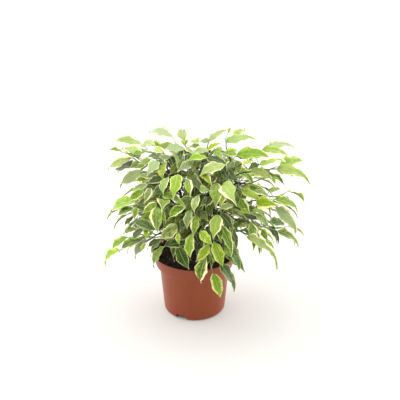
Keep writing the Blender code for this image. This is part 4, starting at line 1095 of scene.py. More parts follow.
class FigStageSettings(bpy.types.PropertyGroup):
    """The floor, the light and the camera."""

    reach: a_length("Reach", "How far the table top reaches from the pot each way", 9.0)
    floor: a_colour("Floor", "Opal white table top", "#C3C1BD")
    cloud: a_colour("Cloud", "Faint mottles of the table top", "#C0BEB9")
    # The table top's glow is painted light; no lamp lies under it
    shine: a_colour("Shine", "Faintly warm light from below the table top", "#FFFDFB")
    glow: a_strength("Glow", "How brightly the table top shines from below", 0.26)
    sky: a_strength("Sky", "Brightness of the white surroundings", 1.31)
    front_shade: a_share("Front shade", "How much darker the surroundings are by the camera", 0.54)
    side_light: a_strength("Side light", "How much lighter the surroundings are at both sides", 1.5)
    key: a_strength("Key light", "Strength of the broad light above", 1.05)
    breadth: an_angle("Breadth", "How broad the key light is", 80.0)
    focal: a_strength("Focal length", "Focal length in points of a 400 point wide picture", VIEW_FOCAL)


def plug(tree, node, inputs):
    """Put values, colours or links into a node's inputs, by their names or numbers, or in order."""
    for key, value in inputs.items() if isinstance(inputs, dict) else enumerate(inputs):
        if isinstance(value, bpy.types.NodeSocket):
            tree.links.new(value, node.inputs[key])
        else:
            is_colour = node.inputs[key].type == "RGBA"
            node.inputs[key].default_value = (*value, 1.0) if is_colour else value


def add(tree, kind, inputs=(), out=0, **settings):
    """Add a node with its settings and with values or links in its inputs, and give one of its outputs."""
    node = tree.nodes.new(kind)
    for name, value in settings.items():
        setattr(node, name, value)
    plug(tree, node, inputs)
    return node.outputs[out] if len(node.outputs) else node


def geometry_tree(name, sizes):
    """A new geometry tree with named inputs, and the sockets that those come in by."""
    tree = bpy.data.node_groups.new(name, "GeometryNodeTree")
    for label, kind in {"Geometry": "Geometry", **sizes, "Material": "Material"}.items():
        tree.interface.new_socket(label, in_out="INPUT", socket_type="NodeSocket" + kind)
    tree.interface.new_socket("Geometry", in_out="OUTPUT", socket_type="NodeSocketGeometry")
    return tree, tree.nodes.new("NodeGroupInput").outputs


def end_tree(tree, geometry, finish):
    """Realize what a tree made, give it its material and send it out."""
    real = add(tree, "GeometryNodeRealizeInstances", (geometry,))
    painted = add(tree, "GeometryNodeSetMaterial", {"Geometry": real, "Material": finish})
    add(tree, "NodeGroupOutput", (painted,))


def made_by(tree, name, mesh, values):
    """A plain mesh object of what a tree makes from a mesh, given values for the tree's named inputs."""
    piece = linked(name, mesh)
    modifier = piece.modifiers.new(tree.name, "NODES")
    modifier.node_group = tree
    for item in tree.interface.items_tree:
        if item.in_out == "INPUT" and item.name in values:
            modifier[item.identifier] = values[item.name]
    make_plain(piece, modifier)
    piece.data.materials.clear()
    piece.data.materials.append(values["Material"])
    piece.data.set_sharp_from_angle(angle=SHARP_ABOVE)
    return piece


def make_plain(piece, modifier):
    """Turn a piece with a modifier into the plain mesh that the modifier gives."""
    evaluated = piece.evaluated_get(bpy.context.evaluated_depsgraph_get())
    finished = bpy.data.meshes.new_from_object(evaluated)
    piece.modifiers.remove(modifier)
    piece.data = finished


def linked(name, mesh, finish=None):
    """An object of a mesh in the scene, in a material if one is given."""
    piece = bpy.data.objects.new(name, mesh)
    bpy.context.scene.collection.objects.link(piece)
    if finish:
        mesh.materials.clear()
        mesh.materials.append(finish)
    return piece


def settle(piece, node):
    """Hide the solid that a piece stands for, and tie the piece to the plant's body so that it moves with
    it.
    """
    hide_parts(node)
    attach(piece, BODY)


def attributed(name, places, edges, values):
    """A mesh of places and edges, with a number or a vector of each name at each place."""
    mesh = bpy.data.meshes.new(name)
    mesh.from_pydata([tuple(place) for place in places], edges, [])
    for label, column in values.items():
        is_vector = isinstance(column[0], Vector)
        attribute = mesh.attributes.new(label, "FLOAT_VECTOR" if is_vector else "FLOAT", "POINT")
        flat = [number for vector in column for number in vector] if is_vector else column
        attribute.data.foreach_set("vector" if is_vector else "value", flat)
    return mesh


def seen_within(place, middle, reach):
    """Whether the camera sees a place inside an ellipse of the picture."""
    ahead, up, right = picture_axes()
    seen = place - EYE
    scale = VIEW_FOCAL / seen.dot(ahead)
    x, y = PICTURE_MIDDLE + scale * seen.dot(right), PICTURE_MIDDLE - scale * seen.dot(up)
    return math.hypot((x - middle[0]) / reach[0], (y - middle[1]) / reach[1]) < 1.0


def within_filling(place):
    """Whether a place is in the part of the crown and of the picture that filling leaves keep to."""
    inside = math.hypot(*((place[i] - CROWN_MIDDLE[i]) / CROWN_REACH[i] for i in range(3)))
    return inside < FILLED_SHARE and seen_within(place, FILLED_MIDDLE, FILLED_REACH)


def hides_stem(leaf):
    """Whether a leaf would cover the stretch of bare stem that shows from the front."""
    return any(place.y < SHOWN_STEM_FRONT and seen_within(place, SHOWN_STEM_MIDDLE, SHOWN_STEM_REACH)
               for place in (leaf.base, leaf.place(0.5, 0.0), leaf.tip))


class FullThicket(Thicket):
    """A thicket in which leaves may grow close to each other and from any side of their twig."""

    keeps_edge = False

    def has_room(self, leaf, spray, index):
        """Whether a leaf is clear of all but its own spray and, where asked, of the crown's edge."""
        if self.keeps_edge and not all(within_filling(place) for place in (leaf.base, leaf.tip)):
            return False
        if hides_stem(leaf):
            return False
        return not self.touches(*leaf.solid(FILLING_MARGIN), lambda owner: owner is spray)


@functools.cache
def whole_plant():
    """The stems' paths, and all sprays: those of the solids, then those that close and fill the crown."""
    rng, thicket, paths, sprays = grow()
    full = FullThicket()
    full.grown = thicket.grown
    sprays += grow_front(CLOSING_SPRAYS, paths, full)
    full.keeps_edge = True
    for scale, count, per_spray, age in FILLING:
        filling = grow_hidden(paths, full, count, scale, per_spray, rng, False)
        for leaf in (leaf for spray in filling for leaf in spray.leaves.values()):
            leaf.age = age or leaf.age
        sprays += filling
    return paths, sprays


# How a blade's form follows from the share of its length, the reach from its rib to its two margins and
# its own seed. Each line names a value, the operation that gives it, and what goes into that.
BLADE_FORMULAS = (
    ("aside", "ABSOLUTE", "reach"),
    ("hand", "SIGN", "reach"),
    # The margin is notched, and differently on each side and from leaf to leaf
    ("own", "MULTIPLY_ADD", "seed", SEED_SPREAD, "hand"),
    ("notch", "MULTIPLY_ADD", "share", NOTCH_RATE, "own"),
    ("notch", "SINE", "notch"),
    ("notch", "MULTIPLY_ADD", "notch", "Notching", 1.0),
    ("outline", "MULTIPLY", "outline", "notch"),
    ("wide", "MULTIPLY", "outline", "reach"),
    ("out", "MULTIPLY", "outline", "aside"),
    # The rib arches from stalk to tip
    ("left", "SUBTRACT", 1.0, "share"),
    ("hump", "MULTIPLY", "share", "left"),
    ("hump", "MULTIPLY", "hump", 4.0),
    ("lift", "MULTIPLY", "hump", "Arch"),
    # The long wave starts at another place on each side of the rib, as on the solids
    ("wave", "MULTIPLY_ADD", "hand", (WAVE_STARTS[1] - WAVE_STARTS[0]) / 2, sum(WAVE_STARTS) / 2),
    ("wave", "MULTIPLY_ADD", "share", WAVE_RATE, "wave"),
    ("wave", "SINE", "wave"),
    ("wave", "MULTIPLY", "wave", "aside"),
    ("lift", "MULTIPLY_ADD", "wave", "Wave", "lift"),
    # Small ripples run along the margins
    ("ripple", "MULTIPLY_ADD", "share", RIPPLE_RATE, "own"),
    ("ripple", "SINE", "ripple"),
    ("ripple", "MULTIPLY", "ripple", "out"),
    ("lift", "MULTIPLY_ADD", "ripple", "Ripple", "lift"),
    # The blade bows to the left or right, and its last stretch hangs as a drip tip
    ("bow", "MULTIPLY_ADD", "seed", 2.0, -1.0),
    ("bow", "MULTIPLY", "bow", "hump"),
    ("bow", "MULTIPLY", "bow", "Bow"),
    ("late", "SUBTRACT", "share", DRIP_TIP),
    ("late", "MAXIMUM", "late", 0.0),
    ("sag", "MULTIPLY", "late", "late"),
    ("sag", "MULTIPLY", "sag", "Droop"),
    ("lift", "SUBTRACT", "lift", "sag"),
    # It thins out to nothing at its margin and its tip, so that its two faces close there
    ("edge", "SUBTRACT", 1.0, "aside"),
    ("thin", "MULTIPLY", "outline", THICKENING),
    ("thin", "MINIMUM", "thin", 1.0),
    ("thin", "MULTIPLY", "thin", "edge"),
    ("thin", "MULTIPLY", "thin", "Thickness"),
    ("thin", "MULTIPLY", "thin", 0.5),
    ("thin", "MULTIPLY", "thin", "layer"),
)


def blade_sheet(tree, rows):
    """A flat sheet in two layers, with its share, reach and layer stored, and rows crowded at its ends."""
    sheet = add(tree, "GeometryNodeMeshCube", {
        "Size": (1.0, 2.0, 2.0), "Vertices X": rows, "Vertices Y": 3, "Vertices Z": 2}, out="Mesh")
    place = add(tree, "ShaderNodeSeparateXYZ", (add(tree, "GeometryNodeInputPosition"),)).node.outputs
    even = add(tree, MATH, (place["X"], 0.5), operation="ADD")
    turn = add(tree, MATH, (even, 2 * math.pi), operation="MULTIPLY")
    crowd = add(tree, MATH, (turn,), operation="SINE")
    crowd = add(tree, MATH, (crowd, CROWDING, even), operation="MULTIPLY_ADD")
    for label, value in {"share": crowd, "reach": place["Y"], "layer": place["Z"]}.items():
        sheet = add(tree, "GeometryNodeStoreNamedAttribute", {
            "Geometry": sheet, "Name": label, "Value": value})
    return sheet


def blade_outline(tree, share):
    """How wide a blade is at a share of its length, as a share of its greatest width."""
    outline = add(tree, "ShaderNodeFloatCurve", {"Value": share})
    mapping = outline.node.mapping
    shape = mapping.curves[0].points
    shape[0].location, shape[1].location = OUTLINE[0], OUTLINE[-1]
    for point in OUTLINE[1:-1]:
        shape.new(*point)
    mapping.update()
    return outline


def leaf_tree():
    """The tree that lays a thin closed blade on each point, by the rule that shaped its solid."""
    tree, given = geometry_tree("Leaf blades", {
        "Rows": "Int", "Thickness": "Float", "Arch": "Float", "Wave": "Float", "Ripple": "Float",
        "Notching": "Float", "Bow": "Float", "Droop": "Float"})
    sheet = blade_sheet(tree, given["Rows"])
    laid = add(tree, "GeometryNodeInstanceOnPoints", {"Points": given["Geometry"], "Instance": sheet})
    laid = add(tree, "GeometryNodeRealizeInstances", (laid,))
    known = {socket.name: socket for socket in given}
    for label in ("share", "reach", "layer", "seed"):
        known[label] = add(tree, NAMED, {"Name": label})
    known["outline"] = blade_outline(tree, known["share"])
    for name, operation, *terms in BLADE_FORMULAS:
        known[name] = add(tree, MATH, [known.get(term, term) for term in terms], operation=operation)
    way = {label: add(tree, NAMED, {"Name": label}, data_type="FLOAT_VECTOR")
           for label in ("foot", "run", "spread", "rise", "lift", "facing", "sideways")}
    spot = way["foot"]
    for label, amount in {"run": "share", "spread": "wide", "rise": "out", "lift": "lift",
                          "sideways": "bow", "facing": "thin"}.items():
        spot = add(tree, VECTOR_MATH, (way[label], known[amount], spot), operation="MULTIPLY_ADD")
    laid = add(tree, "GeometryNodeSetPosition", {"Geometry": laid, "Position": spot})
    laid = add(tree, "GeometryNodeMergeByDistance", {"Geometry": laid, "Distance": WELD})
    laid = add(tree, "GeometryNodeSetShadeSmooth", (laid,))
    end_tree(tree, laid, given["Material"])
    return tree


def strand_tree():
    """The tree that makes round strands of wood or stalk along paths, thick as each place says."""
    tree, given = geometry_tree("Strands", {"Sides": "Int", "Steps": "Int"})
    curve = add(tree, "GeometryNodeMeshToCurve", (given["Geometry"],))
    curve = add(tree, "GeometryNodeCurveSplineType", (curve,), spline_type="CATMULL_ROM")
    curve = add(tree, "GeometryNodeSetSplineResolution", {"Geometry": curve, "Resolution": given["Steps"]})
    ring = add(tree, "GeometryNodeCurvePrimitiveCircle", {"Resolution": given["Sides"], "Radius": 1.0})
    thick = add(tree, NAMED, {"Name": "thick"})
    strand = add(tree, "GeometryNodeCurveToMesh", {
        "Curve": curve, "Profile Curve": ring, "Scale": thick, "Fill Caps": True})
    end_tree(tree, add(tree, "GeometryNodeSetShadeSmooth", (strand,)), given["Material"])
    return tree


def scatter_tree():
    """The tree that strews crumbs over the top of the soil."""
    tree, given = geometry_tree("Crumbs", {"Density": "Float", "Radius": "Float", "Seed": "Int"})
    height = add(tree, "ShaderNodeSeparateXYZ", (add(tree, "GeometryNodeInputPosition"),), out="Z")
    upper = add(tree, MATH, (height, SOIL_TOP - 2 * SOIL_ROUGHNESS), operation="GREATER_THAN")
    spots = add(tree, "GeometryNodeDistributePointsOnFaces", {
        "Mesh": given["Geometry"], "Selection": upper, "Density": given["Density"], "Seed": given["Seed"]})
    lump = add(tree, "GeometryNodeMeshIcoSphere", {
        "Radius": given["Radius"], "Subdivisions": 1}, out="Mesh")
    turn = add(tree, "FunctionNodeRandomValue", {0: (0.0, 0.0, 0.0), 1: CRUMB_TURNS},
               data_type="FLOAT_VECTOR")
    size = add(tree, "FunctionNodeRandomValue", {0: CRUMB_SHARES[0], 1: CRUMB_SHARES[1], "Seed": 3},
               data_type="FLOAT_VECTOR")
    strewn = add(tree, "GeometryNodeInstanceOnPoints", {
        "Points": spots, "Instance": lump, "Scale": size,
        "Rotation": add(tree, "FunctionNodeEulerToRotation", (turn,))})
    end_tree(tree, strewn, given["Material"])
    return tree


def new_material(name):
    """A material with its node tree, and its Principled shader."""
    made = bpy.data.materials.new(name)
    made.use_nodes = True
    return made, made.node_tree, made.node_tree.nodes["Principled BSDF"]


def blade_material(leaf):
    """Leathery variegated leaf: a waxed, softly glossy skin, cream where the margin has no chlorophyll."""
    made, tree, shader = new_material("variegated_leaf")
    at = {label: add(tree, "ShaderNodeAttribute", out="Fac", attribute_name=label)
          for label in ("share", "reach", "layer", "seed", "tone", "youth", "pale", "depth", "margin",
                        "splash")}
    aside = add(tree, MATH, (at["reach"],), operation="ABSOLUTE")
    inward = add(tree, MATH, (1.0, aside), operation="SUBTRACT")
    # Colour follows the side veins, so the noise is laid out along them
    slanted = add(tree, MATH, (aside, STREAK_SLANT, at["share"]), operation="MULTIPLY_ADD")
    level = add(tree, MATH, (at["reach"], HALF_WIDTH), operation="MULTIPLY")
    own = add(tree, MATH, (at["seed"], PATTERNS_APART), operation="MULTIPLY")
    leafwise = add(tree, "ShaderNodeCombineXYZ", (slanted, level, own))
    streak = add(tree, NOISE, {
        "Vector": leafwise, "Scale": STREAKS, "Detail": 4.0, "Roughness": 0.72}, out="Fac")
    patch = add(tree, NOISE, {"Vector": leafwise, "Scale": PATCHES, "Detail": 1.0}, out="Fac")
    # The cream margin is ragged, wider towards the tip, and on some leaves splashed over one side
    ragged = add(tree, MAP_RANGE, {"Value": streak, 1: 0.38, 2: 0.66, 3: 0.0, 4: 2.5}, **SMOOTH)
    margin = add(tree, MATH, (at["margin"], ragged), operation="MULTIPLY")
    splash = add(tree, MATH, (at["splash"], at["reach"]), operation="MULTIPLY", use_clamp=True)
    blotch = add(tree, MATH, (patch, 2.4), operation="MULTIPLY")
    margin = add(tree, MATH, (splash, blotch, margin), operation="MULTIPLY_ADD")
    tipward = add(tree, MAP_RANGE, {"Value": at["share"], 1: 0.80, 2: 1.0, 3: 0.0, 4: 0.6})
    margin = add(tree, MATH, (margin, tipward), operation="ADD")
    from_edge = add(tree, MATH, (inward, margin), operation="SUBTRACT")
    creamy = add(tree, MAP_RANGE, {"Value": from_edge, 1: -0.02, 2: 0.04, 3: 1.0, 4: 0.0}, **SMOOTH)
    # The body is washed grey outside, green inside and darkest in its heart
    patched = add(tree, MATH, (patch, 0.5), operation="MULTIPLY")
    veined = add(tree, MATH, (streak, 0.9, patched), operation="MULTIPLY_ADD")
    veined = add(tree, MATH, (inward, 0.30, veined), operation="MULTIPLY_ADD")
    heart = add(tree, MAP_RANGE, {"Value": veined, 1: 0.77, 2: 0.84}, **SMOOTH)
    core = add(tree, MAP_RANGE, {"Value": veined, 1: 0.86, 2: 0.94, 4: 0.85}, **SMOOTH)
    core = add(tree, MATH, (core, at["pale"]), operation="SUBTRACT", use_clamp=True)
    # Painted shade: leaves deep in the crown are darkened towards the dark green
    core = add(tree, MATH, (core, at["depth"]), operation="MAXIMUM")
    washed = add(tree, MATH, (heart, at["pale"]), operation="SUBTRACT", use_clamp=True)
    grown = add(tree, MIX, {0: washed, 6: leaf.grey, 7: leaf.green}, **RGBA)
    # Painted sheen: the palest leaves, above all those at the top of the crown, are laid over with grey
    # haze
    hazy = add(tree, MAP_RANGE, {"Value": at["pale"], 1: 0.4, 2: 1.1, 4: 0.60})
    grown = add(tree, MIX, {0: hazy, 6: grown, 7: leaf.haze}, **RGBA)
    grown = add(tree, MIX, {0: core, 6: grown, 7: leaf.dark}, **RGBA)
    # Some grown leaves are greyer than others, from a thicker bloom of wax
    waxy = add(tree, "ShaderNodeTexWhiteNoise", {"W": at["seed"]}, noise_dimensions="1D")
    vivid = add(tree, MAP_RANGE, {"Value": waxy, 3: 0.72, 4: 1.76})
    vivid = add(tree, MATH, (at["pale"], -0.22, vivid), operation="MULTIPLY_ADD")
    grown = add(tree, "ShaderNodeHueSaturation", {"Saturation": vivid, "Color": grown})
    young = add(tree, MIX, {0: heart, 6: leaf.fresh, 7: leaf.lime}, **RGBA)
    body = add(tree, MIX, {0: at["youth"], 6: grown, 7: young}, **RGBA)
    # Side veins leave the rib and run forwards to the margin
    slant = add(tree, MATH, (aside, VEIN_SLANT), operation="MULTIPLY")
    comb = add(tree, MATH, (at["share"], VEINS, slant), operation="MULTIPLY_ADD")
    comb = add(tree, MATH, (comb, 1.0), operation="PINGPONG")
    vein = add(tree, MAP_RANGE, {"Value": comb, 1: 0.0, 2: 0.35, 3: 0.17, 4: 0.0})
    rib = add(tree, MAP_RANGE, {"Value": aside, 1: 0.03, 2: 0.10, 3: 0.6, 4: 0.0})
    lines = add(tree, MATH, (vein, rib), operation="MAXIMUM")
    body = add(tree, MIX, {0: lines, 6: body, 7: leaf.rib}, **RGBA)
    rim = add(tree, MIX, {0: at["youth"], 6: leaf.cream, 7: leaf.butter}, **RGBA)
    # Painted shade: the margins of leaves deep in the crown are greyed
    shaded = add(tree, MATH, (at["depth"], 0.5), operation="MULTIPLY")
    rim = add(tree, MIX, {0: shaded, 6: rim, 7: leaf.grey}, **RGBA)
    skin = add(tree, MIX, {0: creamy, 6: body, 7: rim}, **RGBA)
    below = add(tree, MAP_RANGE, {"Value": at["layer"], 1: -0.1, 2: 0.1, 3: 0.35, 4: 0.0})
    skin = add(tree, MIX, {0: below, 6: skin, 7: leaf.grey}, **RGBA)
    hue = add(tree, MAP_RANGE, {"Value": at["seed"], 3: 0.500, 4: 0.469})
    # The tone lowers leaves deep in the crown as painted shade and raises those at the top as painted light
    skin = add(tree, "ShaderNodeHueSaturation", {"Hue": hue, "Value": at["tone"], "Color": skin})
    rough = add(tree, MAP_RANGE, {"Value": streak, 1: 0.3, 2: 0.7, 3: 0.34, 4: 0.48})
    relief = add(tree, MATH, (streak, 0.6, lines), operation="MULTIPLY_ADD")
    bump = add(tree, "ShaderNodeBump", {"Strength": 0.5, "Distance": 0.0003, "Height": relief})
    plug(tree, shader, {
        "Base Color": skin, "Roughness": rough, "Normal": bump, "IOR": 1.45, "Specular IOR Level": 0.35,
        "Subsurface Weight": 0.25, "Subsurface Radius": (0.6, 1.0, 0.25), "Subsurface Scale": 0.0012})
    return made


def bark_material(wood):
    """Thin bark: brown and dull on old wood with ash grey lenticels, green and smoother on new shoots."""
    made, tree, shader = new_material("fig_bark")
    green = add(tree, "ShaderNodeAttribute", out="Fac", attribute_name="green")
    where = add(tree, COORDINATES, out="Object")
    speck = add(tree, NOISE, {"Vector": where, "Scale": 1 / LENTICEL}, out="Fac")
    ashen = add(tree, MAP_RANGE, {"Value": speck, 1: 0.50, 2: 0.68})
    skin = add(tree, MIX, {0: ashen, 6: wood.bark, 7: wood.ash}, **RGBA)
    skin = add(tree, MIX, {0: green, 6: skin, 7: wood.shoot}, **RGBA)
    bump = add(tree, "ShaderNodeBump", {"Strength": 0.5, "Distance": 0.0002, "Height": speck})
    plug(tree, shader, {"Base Color": skin, "Roughness": 0.7, "Normal": bump})
    return made


def stalk_material(leaf):
    """Leaf stalk and rib: pale green, juicy and smooth, a little darker in streaks."""
    made, tree, shader = new_material("leaf_stalk")
    where = add(tree, COORDINATES, out="Object")
    streak = add(tree, NOISE, {"Vector": where, "Scale": 1 / STALK_STREAK}, out="Fac")
    skin = add(tree, MIX, {0: streak, 6: leaf.rib, 7: leaf.green}, **RGBA)
    plug(tree, shader, {"Base Color": skin, "Roughness": 0.45})
    return made


def pot_material(pot):
    """Injection moulded polypropylene, terracotta coloured: satin, with faint flow marks and fine grain."""
    made, tree, shader = new_material("moulded_polypropylene")
    where = add(tree, COORDINATES, out="Object")
    # Flow marks run up the wall
    upright = add(tree, "ShaderNodeMapping", {"Vector": where, "Scale": FLOW_SHAPE})
    flow = add(tree, NOISE, {"Vector": upright, "Scale": 1 / FLOW_MARK, "Detail": 3.0}, out="Fac")
    faint = add(tree, MAP_RANGE, {"Value": flow, 1: 0.45, 2: 0.85, 4: 0.45})
    skin = add(tree, MIX, {0: faint, 6: pot.terracotta, 7: pot.faded}, **RGBA)
    # Painted shade and soil dust darken the inside of the wall above the shelf, which leans out as the band
    # does
    spread = add(tree, VECTOR_MATH, (where, (1.0, 1.0, 0.0)), operation="MULTIPLY")
    radius = add(tree, VECTOR_MATH, (spread,), out="Value", operation="LENGTH")
    height = add(tree, "ShaderNodeSeparateXYZ", (where,), out="Z")
    lean = (RIM_RADIUS - BAND_LOW_RADIUS) / BAND_HEIGHT
    middle = add(tree, MATH, (height, lean, band_radius(0.0) - WALL / 2), operation="MULTIPLY_ADD")
    inner = add(tree, MATH, (radius, middle), operation="LESS_THAN")
    above = add(tree, MATH, (height, SHELF), operation="GREATER_THAN")
    inner = add(tree, MATH, (inner, above), operation="MULTIPLY")
    shade_and_dust = add(tree, MAP_RANGE, {"Value": flow, 1: 0.3, 2: 0.7, 3: 0.45, 4: 0.85})
    shade_and_dust = add(tree, MATH, (inner, shade_and_dust), operation="MULTIPLY")
    skin = add(tree, MIX, {0: shade_and_dust, 6: skin, 7: pot.peat}, **RGBA)
    grain = add(tree, NOISE, {"Vector": where, "Scale": 1 / MOULD_GRAIN, "Detail": 1.0}, out="Fac")
    rough = add(tree, MAP_RANGE, {"Value": flow, 1: 0.3, 2: 0.7, 3: 0.34, 4: 0.42})
    bump = add(tree, "ShaderNodeBump", {"Strength": 0.15, "Distance": 0.0001, "Height": grain})
    plug(tree, shader, {"Base Color": skin, "Roughness": rough, "Normal": bump, "IOR": 1.49})
    return made


def crumb_material(name, low, high, roughness):
    """Loose earthy stuff: dull, and mottled from one crumb to the next."""
    made, tree, shader = new_material(name)
    where = add(tree, COORDINATES, out="Object")
    mottle = add(tree, NOISE, {"Vector": where, "Scale": 1 / CRUMB_MOTTLE, "Detail": 4.0}, out="Fac")
    some = add(tree, MAP_RANGE, {"Value": mottle, 1: 0.45, 2: 0.75})
    skin = add(tree, MIX, {0: some, 6: low, 7: high}, **RGBA)
    bump = add(tree, "ShaderNodeBump", {"Strength": 0.8, "Distance": 0.0006, "Height": mottle})
    plug(tree, shader, {"Base Color": skin, "Roughness": roughness, "Normal": bump})
    return made


def floor_material(stage):
    """Opal acrylic table top: matt white, faintly mottled, and glowing all round the pot as painted light,
    with no lamp under it.
    """
    made, tree, shader = new_material("opal_acrylic")
    where = add(tree, COORDINATES, out="Object")
    cloud = add(tree, NOISE, {"Vector": where, "Scale": 1 / TABLE_CLOUD}, out="Fac")
    skin = add(tree, MIX, {0: cloud, 6: stage.floor, 7: stage.cloud}, **RGBA)
    away = add(tree, VECTOR_MATH, (where,), out="Value", operation="LENGTH")
    glow = add(tree, MAP_RANGE, {"Value": away, 1: GLOW_STARTS * FOOT, 2: GLOW_FULL * FOOT, 4: stage.glow})
    plug(tree, shader, {"Base Color": skin, "Roughness": 0.9, "Emission Color": stage.shine,
                        "Emission Strength": glow})
    return made


def arc(x, z, radius, start, stop, steps):
    """Points of an arc in a profile, by its middle and its angles in degrees."""
    angles = [math.radians(start + (stop - start) * step / steps) for step in range(steps + 1)]
    return [(x + radius * math.cos(angle), z + radius * math.sin(angle)) for angle in angles]


def turned(name, profile, sides):
    """A closed mesh turned round Z from a profile that starts and ends on the axis."""
    points, faces, rings = [], [], []
    for radius, height in profile:
        count = sides if radius else 1
        rings.append([len(points) + corner % count for corner in range(sides)])
        for corner in range(count):
            angle = 2 * math.pi * corner / sides
            points.append((radius * math.cos(angle), radius * math.sin(angle), height))
    for low, high in zip(rings, rings[1:]):
        for corner in range(sides):
            after = (corner + 1) % sides
            faces.append(tuple(dict.fromkeys((low[corner], low[after], high[after], high[corner]))))
    mesh = bpy.data.meshes.new(name)
    mesh.from_pydata(points, [], faces)
    mesh.shade_smooth()
    return mesh


def cut(target, name, points, faces):
    """Cut a closed shape out of a piece for good."""
    mesh = bpy.data.meshes.new(name)
    mesh.from_pydata([tuple(point) for point in points], [], faces)
    tool = linked(name, mesh)
    boolean = target.modifiers.new(name, "BOOLEAN")
    boolean.operation = "DIFFERENCE"
    boolean.object = tool
    make_plain(target, boolean)
    bpy.data.objects.remove(tool)


def wall_radius(height):
    """The outside radius of the pot's wall at a height, below the band."""
    share_up = (height - CORNER) / (BAND_LOW - CORNER)
    return FOOT_RADIUS + (WALL_TOP_RADIUS - FOOT_RADIUS) * share_up


def band_radius(height):
    """The outside radius of the pot's rim band at a height."""
    share_up = (height - BAND_LOW) / BAND_HEIGHT
    return BAND_LOW_RADIUS + (RIM_RADIUS - BAND_LOW_RADIUS) * share_up


def pot_profile(fillet):
    """The pot's section, from the middle of its foot round the rim and back to the middle of its floor."""
    ring_inside = FOOT - FOOT_RING_WIDTH
    lip = WALL / 2
    bend = CORNER - WALL
    heights = [BAND_LOW * step / WALL_STEPS for step in range(1, WALL_STEPS)]
    return [
        (0.0, 0.0), (FOOT_DISC_RADIUS, 0.0), (FOOT_DISC_RADIUS + FOOT_DRAFT, FLOOR_UNDERSIDE),
        (ring_inside, FLOOR_UNDERSIDE), (ring_inside + FOOT_DRAFT, 0.0),
        *arc(FOOT_RADIUS - CORNER, CORNER, CORNER, -90, 0, CORNER_STEPS),
        *((wall_radius(height), height) for height in heights),
        *arc(wall_radius(BAND_LOW) + fillet, BAND_LOW - fillet, fillet, 180, 90, FILLET_STEPS),
        *arc(BAND_LOW_RADIUS - fillet, BAND_LOW + fillet, fillet, -90, 0, FILLET_STEPS),
        *arc(RIM_RADIUS - lip, POT_HEIGHT - lip, lip, 0, 180, RIM_STEPS),
        (band_radius(SHELF) - WALL, SHELF), (wall_radius(SHELF) - WALL, SHELF - LEDGE),
        *arc(wall_radius(FLOOR + bend) - WALL - bend, FLOOR + bend, bend, 0, -90, BEND_STEPS),
        (0.0, FLOOR),
    ]


def drill_drains(pot):
    """Cut the drain holes through the pot's floor."""
    for index in range(DRAIN_HOLES):
        angle = 2 * math.pi * (index + DRAIN_TURN) / DRAIN_HOLES
        x, y = DRAIN_CIRCLE * math.cos(angle), DRAIN_CIRCLE * math.sin(angle)
        ends = [Vector((x, y, FLOOR_UNDERSIDE - CUT_PAST)), Vector((x, y, FLOOR + CUT_PAST))]
        cut(pot, "drain_hole", *tube(ends, [DRAIN_HOLE_RADIUS] * 2, DRAIN_HOLE_SIDES))


def cut_notches(pot):
    """Cut the arched drainage notches through the pot's foot and the bottom of its wall."""
    count = len(NOTCH_ARCH)
    ends = [tuple(reversed(range(count))), tuple(range(count, 2 * count))]
    sides = [(low, (low + 1) % count, count + (low + 1) % count, count + low) for low in range(count)]
    for index in range(NOTCHES):
        angle = NOTCH_ANGLE + 2 * math.pi * index / NOTCHES
        out = Vector((math.cos(angle), math.sin(angle), 0.0))
        side = Vector((-out.y, out.x, 0.0))
        corners = [out * distance + side * (half * NOTCH_WIDTH / 2) + Vector((0.0, 0.0, height))
                   for distance in (FOOT - FOOT_RING_WIDTH - CUT_PAST, RIM_RADIUS)
                   for half, height in NOTCH_ARCH]
        cut(pot, "foot_notch", corners, ends + sides)


class FIG_OT_pot(bpy.types.Operator):
    """Make the nursery pot, with its drain holes and foot notches"""

    bl_idname = "fig.pot"
    bl_label = "Nursery pot"

    def execute(self, context):
        settings = context.scene.fig_pot
        mesh = turned("nursery_pot", pot_profile(settings.fillet), settings.sides)
        pot = linked("nursery_pot", mesh, pot_material(settings))
        drill_drains(pot)
        cut_notches(pot)
        pot.data.set_sharp_from_angle(angle=POT_SHARP_ABOVE)
        settle(pot, "pot")
        return {"FINISHED"}


def soil_mesh():
    """The root ball, with its top crumbled into clods."""
    inwards = WALL + SOIL_SLACK
    edge = band_radius(SOIL_TOP) - inwards - GAP
    mesh = turned("soil_bed", [
        (0.0, FLOOR + GAP), (FOOT - inwards, FLOOR + GAP), (FOOT_RADIUS - inwards, INSIDE_CORNER + GAP),
        (wall_radius(SHELF) - inwards, SHELF + GAP), (band_radius(SHELF) - inwards, SHELF + GAP),
        (edge, SOIL_TOP - SOIL_EDGE_DROP),
        *((edge * (1 - ring / SOIL_RINGS), SOIL_TOP) for ring in range(1, SOIL_RINGS)), (0.0, SOIL_TOP),
    ], SOIL_SIDES)
    for vertex in mesh.vertices:
        if vertex.co.z > SOIL_TOP - GAP:
            clod = noise.noise(vertex.co / CLOD) + 0.5 * noise.noise(vertex.co / CLOD_CRUMB)
            vertex.co.z += SOIL_ROUGHNESS * clod
    return mesh


class FIG_OT_soil(bpy.types.Operator):
    """Make the root ball with its crumbled top, loose crumbs and perlite grains"""

    bl_idname = "fig.soil"
    bl_label = "Potting soil"

    def execute(self, context):
        settings = context.scene.fig_pot
        mesh, scatter = soil_mesh(), scatter_tree()
        peat = crumb_material("moist_peat", settings.peat, settings.bark_chip, 0.95)
        bed = linked("soil_bed", mesh, peat)
        dark = crumb_material("peat_crumb", settings.peat, settings.bark_chip, 0.9)
        light = crumb_material("perlite_grain", settings.perlite, settings.bark_chip, 0.9)
        crumbs = made_by(scatter, "soil_crumbs", mesh.copy(), {
            "Density": settings.crumbs, "Radius": settings.crumb, "Seed": CRUMB_SEED, "Material": dark})
        grains = made_by(scatter, "perlite_grains", mesh.copy(), {
            "Density": settings.grains, "Radius": settings.crumb * GRAIN_SHARE, "Seed": GRAIN_SEED,
            "Material": light})
        for piece in (bed, crumbs, grains):
            settle(piece, "soil")
        return {"FINISHED"}


